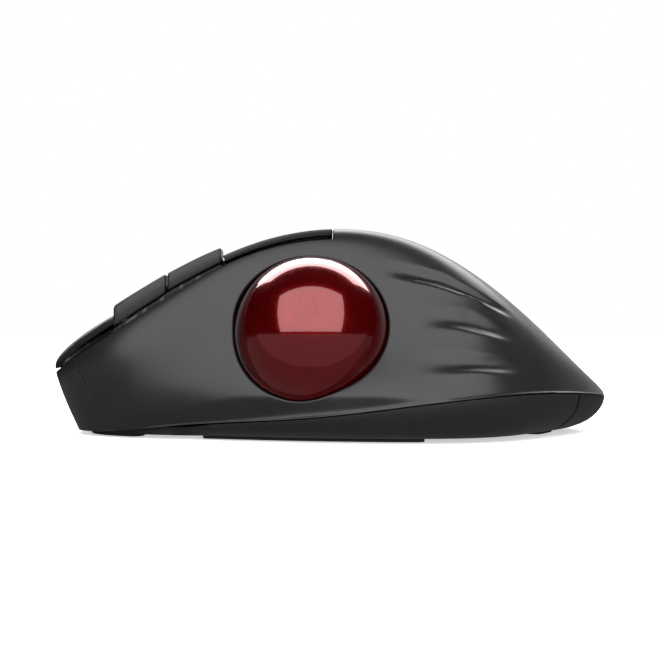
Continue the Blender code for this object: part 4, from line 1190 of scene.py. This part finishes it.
# --- Plates and buttons --------------------------------------------------------------------------
@dataclass
class ButtonPlates:
    """The two long button plates and the polished strip between them, with its top button."""

    thickness: float = 1.5
    gap: float = 1.6
    start: float = 6.2
    right_start: float = 9.0
    end: float = 83.4
    strip: tuple[float, float] = (-10.4, 1.4)
    slot: tuple[float, float] = (-8.8, -0.2)
    wheel_slot: tuple[float, float] = (27.5, 44.5)
    dpi: tuple[float, float] = (60.0, 69.0)
    side_from: float = 29.7
    side_to: float = 57.8
    side_depth: float = 10.0

    def edge_gap(self, s: float) -> float:
        """Where the left plate starts, beyond the gap over the thumb wall."""
        return BODY.girth_at(s, min(self.gap, 0.9 + s / 10))

    def far_gap(self, s: float) -> float:
        """Where the right plate ends, before the gap over the pinky wall."""
        return BODY.girth_before(s, min(self.gap, 0.9 + s / 10))

    def build(self) -> None:
        """Make both plates, the strip and the top button."""
        before = by_step(self.start, self.side_from, 1.2)
        beside = by_step(self.side_from, self.side_to, 1.2)[1:]
        marks = before + beside + by_step(self.side_to, self.end, 1.2)[1:]
        first, last = len(before) - 1, len(before) + len(beside) - 1

        def left(s: float) -> list[float]:
            """The left plate's lines at station s: seven beside the side buttons, then the rest.

            Args:
                s: The station.

            Returns:
                The girths of the lines.
            """
            low, high = self.edge_gap(s), BODY.girth_where(s, self.strip[0] - 1.5 * GAP)
            inner = min(BODY.girth_at(s, self.side_depth), low + 0.65 * (high - low))
            return spaced(low, inner, 8) + spaced(inner, high, 8)[1:]

        bm = sheet(BODY.deck, marks, left, 0, -self.thickness,
                   lambda i, j: not (first <= i < last and j < 7))
        round_edges(bm, 0.3, 3, lambda p: p.x > -58)
        piece("left_plate", bm, Finishes.PLATE, "left_click", ["left_button"])
        bm = sheet(BODY.skin, by_step(self.right_start, self.end, 1.2),
                   lambda s: spaced(BODY.girth_where(s, self.strip[1] + 1.5 * GAP), self.far_gap(s), 22),
                   0, -self.thickness)
        round_edges(bm, 0.3, 3, lambda p: p.x > -58)
        piece("right_plate", bm, Finishes.PLATE, "right_click", ["right_button"])
        self.build_strip()

    def build_strip(self) -> None:
        """The polished strip with its two windows, and the button in the rear one."""
        marks = (by_step(1.5, self.wheel_slot[0], 1.2) + by_step(*self.wheel_slot, 1.2)[1:]
                 + by_step(self.wheel_slot[1], self.dpi[0], 1.2)[1:] + by_step(*self.dpi, 1.2)[1:]
                 + by_step(self.dpi[1], self.end, 1.2)[1:])

        def lines(s: float) -> list[float]:
            """The strip's lines at station s.

            Args:
                s: The station.

            Returns:
                The girths of the lines.
            """
            low = max(self.edge_gap(s), BODY.girth_where(s, self.strip[0]))
            high = min(self.far_gap(s), BODY.girth_where(s, self.strip[1]))
            if s < 12:
                return spaced(low, high, 10)
            return [low] + [BODY.girth_where(s, y) for y in spaced(*self.slot, 8)] + [high]

        def keep(i: int, j: int) -> bool:
            """Leave out the cells in the two windows.

            Args:
                i: The line's number along the mouse.
                j: The line's number across it.

            Returns:
                True if the cell is there.
            """
            inside = 0 < j < 8
            wheel = self.wheel_slot[0] <= marks[i] < self.wheel_slot[1] - 0.01
            dpi = self.dpi[0] <= marks[i] < self.dpi[1] - 0.01
            return not (inside and (wheel or dpi))

        bm = sheet(BODY.skin, marks, lines, -0.1, -self.thickness, keep)
        round_edges(bm, 0.2, 2, lambda p: p.x > -60)
        piece("middle_strip", bm, Finishes.STRIP, "body", ["centre_strip"])
        low, high = self.dpi

        def crown(s: np.ndarray, t: np.ndarray) -> np.ndarray:
            """A button face that is a little higher in the middle."""
            return 0.5 + 0.25 * np.sin(np.pi * (s - low) / (high - low))

        bm = sheet(BODY.skin, by_step(low + GAP, high - GAP, 0.7),
                   lambda s: spaced(BODY.girth_where(s, self.slot[0] + GAP),
                                    BODY.girth_where(s, self.slot[1] - GAP), 12),
                   crown, -1.3)
        round_edges(bm, 0.3)
        piece("top_button", bm, Finishes.PLATE, "dpi", ["dpi_button"])


@dataclass
class ButtonTray:
    """The black tray under the plates, with an upstand along its thumb edge where no side button is."""

    top: float = -3.4
    bottom: float = -4.4
    start: float = 2.5
    end: float = 82.4
    seal: tuple[float, float] = (83.6, 83.8)
    inset: float = 1.0
    rim: float = 1.2
    slot: tuple[float, float] = (24.8, 46.6)
    slot_y: tuple[float, float] = (-9.1, 0.1)
    posts: tuple[float, float] = (50.5, 55.5)
    post_y: Table = ((-15.0, -11.0), (7.0, 11.0))
    beside: tuple[float, float] = (29.7, 57.8)
    hinge: float = 83.4
    swing: float = 0.0145
    plate: float = 1.5
    room: float = 0.35
    front_wall: float = 1.5
    plain_to: float = 20.0
    post_radius: float = 3.0
    post_foot: float = 5.0
    post_drop: float = 6.4
    screws: Table = ((-50.5, -13.0), (-50.5, 7.0))

    def build(self) -> None:
        """Make the tray with its windows and screw posts."""
        marks = (by_step(self.start, self.slot[0], 1.4) + by_step(*self.slot, 1.4)[1:]
                 + by_step(self.slot[1], self.posts[0], 1.3)[1:] + by_step(*self.posts, 1.25)[1:]
                 + by_step(self.posts[1], self.end, 1.4)[1:])

        def lines(s: float) -> list[float]:
            """The tray's lines at station s: the upstand first, then the windows' edges.

            Args:
                s: The station.

            Returns:
                The girths of the lines.
            """
            low = BODY.girth_at(s, self.inset)
            high = BODY.girth_before(s, min(1.6, 0.9 + s / 10))
            if s < self.plain_to:
                return spaced(low, BODY.girth_at(s, self.inset + self.rim), 3) + spaced(
                    BODY.girth_at(s, self.inset + self.rim), high, 10)[1:]
            ys = (*self.post_y[0], -10.5, *self.slot_y, 3.5, *self.post_y[1])
            return ([low, BODY.girth_at(s, self.inset + self.rim / 2),
                     BODY.girth_at(s, self.inset + self.rim)]
                    + [BODY.girth_where(s, y) for y in ys] + [high])

        def keep(i: int, j: int) -> bool:
            """Leave out the wheel's slot and the posts' windows.

            Args:
                i: The line's number along the mouse.
                j: The line's number across it.

            Returns:
                True if the cell is there.
            """
            wheel = self.slot[0] <= marks[i] < self.slot[1] - 0.01 and j == 6
            posts = self.posts[0] <= marks[i] < self.posts[1] - 0.01 and j in (3, 9)
            return not (wheel or posts)

        def top(s: np.ndarray, t: np.ndarray) -> np.ndarray:
            """The upper side: flat, with the upstand left under the plate's swing.

            Args:
                s: Stations along the mouse.
                t: Girths across it.

            Returns:
                The lifts of the upper side.
            """
            rise = BODY.deck(s, t)[..., 2] - BODY.skin(s, t)[..., 2]
            room = self.plate + self.room + (self.hinge - s) * self.swing
            lift = np.maximum(self.top, rise - room)
            upstand = np.zeros(s.shape, bool)
            upstand[:, :3] = True
            upstand &= (s < self.beside[0]) | (s > self.beside[1])
            upstand |= s < self.start + self.front_wall
            return np.where(upstand, lift, self.top)

        bm = sheet(BODY.skin, marks, lines, top, self.bottom, keep)
        posts = bmesh.new()
        for x, y in self.screws:
            s = self.station_over(x, y)
            top_z = float(BODY.skin(s, BODY.girth_where(s, y))[2]) - self.post_drop
            middle = (x, y, (self.post_foot + top_z) / 2)
            rod(posts, middle, self.post_radius, top_z - self.post_foot, 32)
        bmesh.ops.recalc_face_normals(posts, faces=posts.faces)
        piece("plate_tray", bm, Finishes.INNER, "body", ["button_tray"])
        piece("tray_posts", posts, Finishes.INNER, "body")
        seal = sheet(BODY.deck, self.seal,
                     lambda s: spaced(BODY.girth_at(s, 0.3), BODY.girth_where(s, 3), 16), -0.3, -2.6)
        piece("plate_seal", seal, Finishes.INNER, "body")

    @staticmethod
    def station_over(x: float, y: float) -> float:
        """The station whose section passes over a point of the plan."""
        stations = spaced(5, 40, 71)
        return min(stations, key=lambda s: abs(float(BODY.skin(s, BODY.girth_where(s, y))[0]) - x))


@dataclass
class SideButtons:
    """The two raised side buttons on their ribbed carrier."""

    front: tuple[float, float] = (30.1, 43.4)
    rear: tuple[float, float] = (43.9, 57.4)
    inset: float = 1.6
    width: float = 8.0
    rise: Table = ((30.1, 2.2), (43.4, 2.6), (43.9, 2.5), (57.4, 2.05))
    sink: Table = ((30.1, 2.4), (43.4, 1.75), (43.9, 1.5), (57.4, 1.4))
    hollow: float = 1.3
    apron: Table = ((30.1, 1.7), (57.4, 0.95))
    carrier: tuple[float, float] = (-2.15, -3.0)
    steps: tuple[float, ...] = (3.1, 3.6, 7.6, 8.8)
    switches: Table = ((34.0, 40.0), (48.0, 54.0))
    ribs: Table = ((33.2, 36.2), (37.5, 38.7), (42.0, 43.0), (46.9, 47.9), (51.1, 52.2))

    def build(self) -> None:
        """Make both buttons and the carrier with its ribs."""
        buttons = (("front_side_button", "side_button_front", "side_front", self.front),
                   ("rear_side_button", "side_button_rear", "side_rear", self.rear))
        for name, node, body, (start, end) in buttons:
            def crown(s: np.ndarray, t: np.ndarray) -> np.ndarray:
                """A face that follows the rise along the mouse, and is a little fuller in the middle."""
                middle = 0.12 * np.sin(np.pi * np.clip((s - start) / (end - start), 0, 1))
                return np.interp(s, *zip(*self.rise)) + middle

            bm = sheet(BODY.deck, by_step(start, end, 1.15),
                       lambda s: [BODY.girth_at(s, self.inset + d) for d in by_step(0, self.width, 1.15)],
                       crown, self.underside, upright=True)
            round_edges(bm, 0.5, 4)
            piece(name, bm, Finishes.PLATE, body, [node])
        marks = [self.front[0], *self.switches[0], self.front[1],
                 self.rear[0], *self.switches[1], self.rear[1]]
        bm = sheet(BODY.deck, marks, lambda s: [BODY.girth_at(s, d) for d in self.steps], *self.carrier,
                   keep=lambda i, j: not (i in (1, 5) and j == 1))
        piece("side_carrier", bm, Finishes.INNER, "body", ["side_button_bracket"])
        bm = sheet(BODY.deck, by_step(self.front[0], self.rear[1], 1.5),
                   lambda s: [BODY.girth_at(s, d) for d in (0.75, 1.25)],
                   lambda s, t: self.below(s, 0.35), lambda s, t: self.below(s, 0.35, 1.0), upright=True)
        piece("side_apron", bm, Finishes.INNER, "body")
        for number, (start, end) in enumerate(self.ribs, 1):
            bm = sheet(BODY.deck, [start, end], lambda s: [BODY.girth_at(s, d) for d in (0.45, 0.7)],
                       lambda s, t: self.below(s, 0.4), lambda s, t: self.below(s, 0.4, 0.95), upright=True)
            round_edges(bm, 0.06, 2)
            piece("carrier_rib_%d" % number, bm, Finishes.CHIP, "body")

    def underside(self, s: np.ndarray, t: np.ndarray) -> np.ndarray:
        """A button's lower side: a skirt along its outer edge, hollowed behind it.

        Args:
            s: Stations along the mouse.
            t: Girths across it. Not used.

        Returns:
            The lifts of the lower side.
        """
        skirt = np.zeros(s.shape, bool)
        skirt[:, :2] = True
        return np.where(skirt, -np.interp(s, *zip(*self.sink)), -self.hollow)

    def below(self, s: np.ndarray, gap: float, share: float = 0.0) -> np.ndarray:
        """A height below the buttons' lower edge, by a gap and a share of the apron's own height."""
        return -np.interp(s, *zip(*self.sink)) - gap - share * np.interp(s, *zip(*self.apron))


# --- Wheel and ball ------------------------------------------------------------------------------
@dataclass
class ScrollWheel:
    """A ribbed rubber tyre on a dished hub."""

    centre: Point = (-40.0, -4.5, 22.4)
    radius: float = 10.0
    half: float = 3.5
    tyre: float = 2.2
    bore: float = 1.0
    ribs: int = 30
    rib_depth: float = 0.45

    def build(self) -> None:
        """Turn the tyre and the hub."""
        inner = self.radius - self.tyre
        crown = [(self.radius - 0.7 * (1 - math.cos(a)), self.half - 0.9 + 0.9 * math.sin(a))
                 for a in spaced(0, math.pi / 2, 5)]
        outline = ([(inner, -self.half)] + [(r, -h) for r, h in reversed(crown)]
                   + [(self.radius, h) for h in spaced(-2, 2, 5)] + crown + [(inner, self.half)])
        bm = turned(Vector(self.centre), (0, 1, 0), outline, 240, self.ribbed)
        piece("wheel_tyre", bm, Finishes.TYRE, "wheel", ["scroll_tyre"])
        rim, dish = inner - 0.15, 0.9
        outline = ((self.bore, -self.half), (2.6, -self.half), (2.9, dish - self.half),
                   (rim - 1.6, dish - self.half), (rim - 1.2, -self.half), (rim, -self.half),
                   (rim, self.half), (rim - 1.2, self.half), (rim - 1.6, self.half - dish),
                   (2.9, self.half - dish), (2.6, self.half), (self.bore, self.half))
        bm = turned(Vector(self.centre), (0, 1, 0), outline, 96)
        piece("wheel_hub", bm, Finishes.PLATE, "wheel", ["scroll_hub"])

    def ribbed(self, angle: float, radius: float, height: float) -> float:
        """The tyre's radius, cut by flat-bottomed grooves across it.

        Args:
            angle: The angle round the axle, in radians.
            radius: The radius before the grooves.
            height: The place along the axle.

        Returns:
            The radius there.
        """
        if radius < self.radius - 0.75 or abs(height) > self.half - 0.5:
            return radius
        wave = 0.5 - 0.5 * math.cos(angle * self.ribs)
        return radius - self.rib_depth * min(1.0, max(0.0, (wave - 0.45) * 4))


@dataclass
class ThumbBall:
    """The ball, rounded by subdividing a cube-like start so that its faces are even."""

    centre: Point = (-4.0, -32.0, 23.8)
    radius: float = 17.0

    def build(self) -> None:
        """Make the ball as a cube whose fine grid is pushed out to the sphere."""
        bm = bmesh.new()
        bmesh.ops.create_cube(bm, size=2.0)
        bmesh.ops.subdivide_edges(bm, edges=bm.edges, cuts=35, use_grid_fill=True)
        for vert in bm.verts:
            even = Vector(math.tan(c * math.pi / 4) for c in vert.co)
            vert.co = Vector(self.centre) + even.normalized() * self.radius
        piece("red_ball", bm, Finishes.BALL, "ball", ["ball"], smooth=80)


# --- Pieces kept from the frame ------------------------------------------------------------------
class InnerParts:
    """The small pieces whose own shapes are right, with finishes of their own."""

    finishes: dict[Finishes, tuple[str, ...]] = {
        Finishes.INNER: ("ball_cup", "wheel_carrier", "receiver_body"),
        Finishes.CHIP: ("side_switch_front", "side_switch_rear", "left_microswitch", "right_microswitch",
                        "dpi_switch", "middle_switch", "wheel_encoder", "optical_sensor", "power_switch",
                        "pairing_switch"),
        Finishes.BOARD: ("button_board", "main_board", "sensor_board"),
        Finishes.CERAMIC: ("ball_bearing_1", "ball_bearing_2", "ball_bearing_3"),
        Finishes.LENS: ("sensor_lens",),
        Finishes.SCREW: ("screw_1", "screw_2", "screw_3", "screw_4"),
        Finishes.SPRING: ("contact_spring", "receiver_plug"),
        Finishes.CONTACT: ("contact_plate",),
        Finishes.CELL: ("battery_cell",),
        Finishes.AXLE: ("scroll_axle",),
        Finishes.BASE: ("battery_door",),
        Finishes.PLATE: ("power_knob", "pairing_button"),
    }

    def dress(self) -> None:
        """Give each piece its material."""
        for finish, names in self.finishes.items():
            for name in names:
                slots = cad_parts[name].data.materials
                slots.clear()
                slots.append(finish.value.material())
                log.info("%s: %s", name, finish.value.name)


# --- Studio --------------------------------------------------------------------------------------
@dataclass(frozen=True)
class Softbox:
    """A rectangular studio light."""

    name: str
    place: Point
    aim: Point
    size: tuple[float, float]
    radiance: float

    def hang(self) -> None:
        """Place the light, out of the camera's sight."""
        data = bpy.data.lights.new(self.name, "AREA")
        data.shape = "RECTANGLE"
        data.size, data.size_y = self.size
        data.energy = self.radiance * math.pi * self.size[0] * self.size[1]
        thing = bpy.data.objects.new(self.name, data)
        thing.location = self.place
        thing.rotation_mode = "QUATERNION"
        thing.rotation_quaternion = (Vector(self.aim) - Vector(self.place)).to_track_quat("-Z", "Y")
        thing.visible_camera = False
        bpy.context.scene.collection.objects.link(thing)


@dataclass
class Studio:
    """Camera, pale floor, white surroundings and softboxes. Lengths here are in metres."""

    eye: Point = (0.0, -0.332, 0.0245)
    lens: float = 74.1
    floor_half: float = 6.0
    floor_glow: float = 0.55
    sun_strength: float = 3.3
    sun_spread: float = 70.0
    sun_tilt: tuple[float, float] = (18.0, 12.0)
    softboxes: tuple[Softbox, ...] = (
        Softbox("front_softbox", (-0.03, -0.535, 0.48), (-0.03, 0.12, 0.133), (1.44, 0.96), 2.55),
        Softbox("rear_top_softbox", (0.02, 0.52, 0.60), (0.0, -0.03, 0.024), (1.22, 0.46), 4.6),
        Softbox("rear_wall", (0.2, 1.3, 0.35), (0.0, 0.0, 0.02), (2.2, 0.7), 0.7),
        Softbox("floor_card", (0.0, -0.86, 0.001), (0.0, -0.86, 1.0), (3.0, 1.6), 0.28),
        Softbox("near_floor_card", (0.0, 0.0, 0.0005), (0.0, 0.0, 1.0), (0.9, 0.12), 0.14))

    def build(self) -> None:
        """Set up the whole studio."""
        self.camera()
        self.floor()
        self.surroundings()
        for light in self.softboxes:
            light.hang()
        self.sun()
        bpy.context.scene.view_settings.view_transform = "Standard"

    def camera(self) -> None:
        """A long lens at ball height, level, looking across the mouse."""
        data = bpy.data.cameras.new("camera")
        data.sensor_width = 36.0
        data.lens = self.lens
        data.clip_start, data.clip_end = 0.01, 50
        thing = bpy.data.objects.new("camera", data)
        thing.location = self.eye
        thing.rotation_euler = (math.pi / 2, 0, 0)
        bpy.context.scene.collection.objects.link(thing)
        bpy.context.scene.camera = thing

    def floor(self) -> None:
        """A plain pale table top."""
        graph = Graph("pale_floor")
        tone = graph.noise(180.0, 2.0)
        graph.surface(Base_Color=graph.blend(tone, (0.90, 0.90, 0.90), (0.93, 0.93, 0.93)), Roughness=0.9,
                      Specular_IOR_Level=0.1, Emission_Color=(1.0, 1.0, 1.0, 1.0),
                      Emission_Strength=self.floor_glow)
        bm = bmesh.new()
        bmesh.ops.create_grid(bm, x_segments=8, y_segments=8, size=self.floor_half)
        mesh = bpy.data.meshes.new("floor")
        bm.to_mesh(mesh)
        bm.free()
        mesh.materials.append(graph.material)
        thing = bpy.data.objects.new("floor", mesh)
        thing.visible_glossy = False
        bpy.context.scene.collection.objects.link(thing)

    def surroundings(self) -> None:
        """A white room that is seen but gives little light of its own."""
        world = bpy.data.worlds.new("studio")
        bpy.context.scene.world = world
        world.use_nodes = True
        world.node_tree.nodes["Background"].inputs["Color"].default_value = (1, 1, 1, 1)
        world.node_tree.nodes["Background"].inputs["Strength"].default_value = 1.0
        world.cycles_visibility.diffuse = False
        world.cycles_visibility.glossy = False

    def sun(self) -> None:
        """Broad light from above that shows in no reflection."""
        data = bpy.data.lights.new("ceiling", "SUN")
        data.energy = self.sun_strength
        data.angle = math.radians(self.sun_spread)
        thing = bpy.data.objects.new("ceiling", data)
        thing.rotation_euler = (*(math.radians(tilt) for tilt in self.sun_tilt), 0)
        thing.visible_glossy = False
        bpy.context.scene.collection.objects.link(thing)


def main() -> None:
    """Build every sub-assembly in order, then the studio."""
    logging.basicConfig(level=logging.INFO, format="%(message)s")
    for part in (PalmShell(), EndCaps(), BaseTray(), ButtonPlates(), ButtonTray(), SideButtons(),
                 ScrollWheel(), ThumbBall()):
        part.build()
    InnerParts().dress()
    Studio().build()


if __name__ == "__main__":
    main()
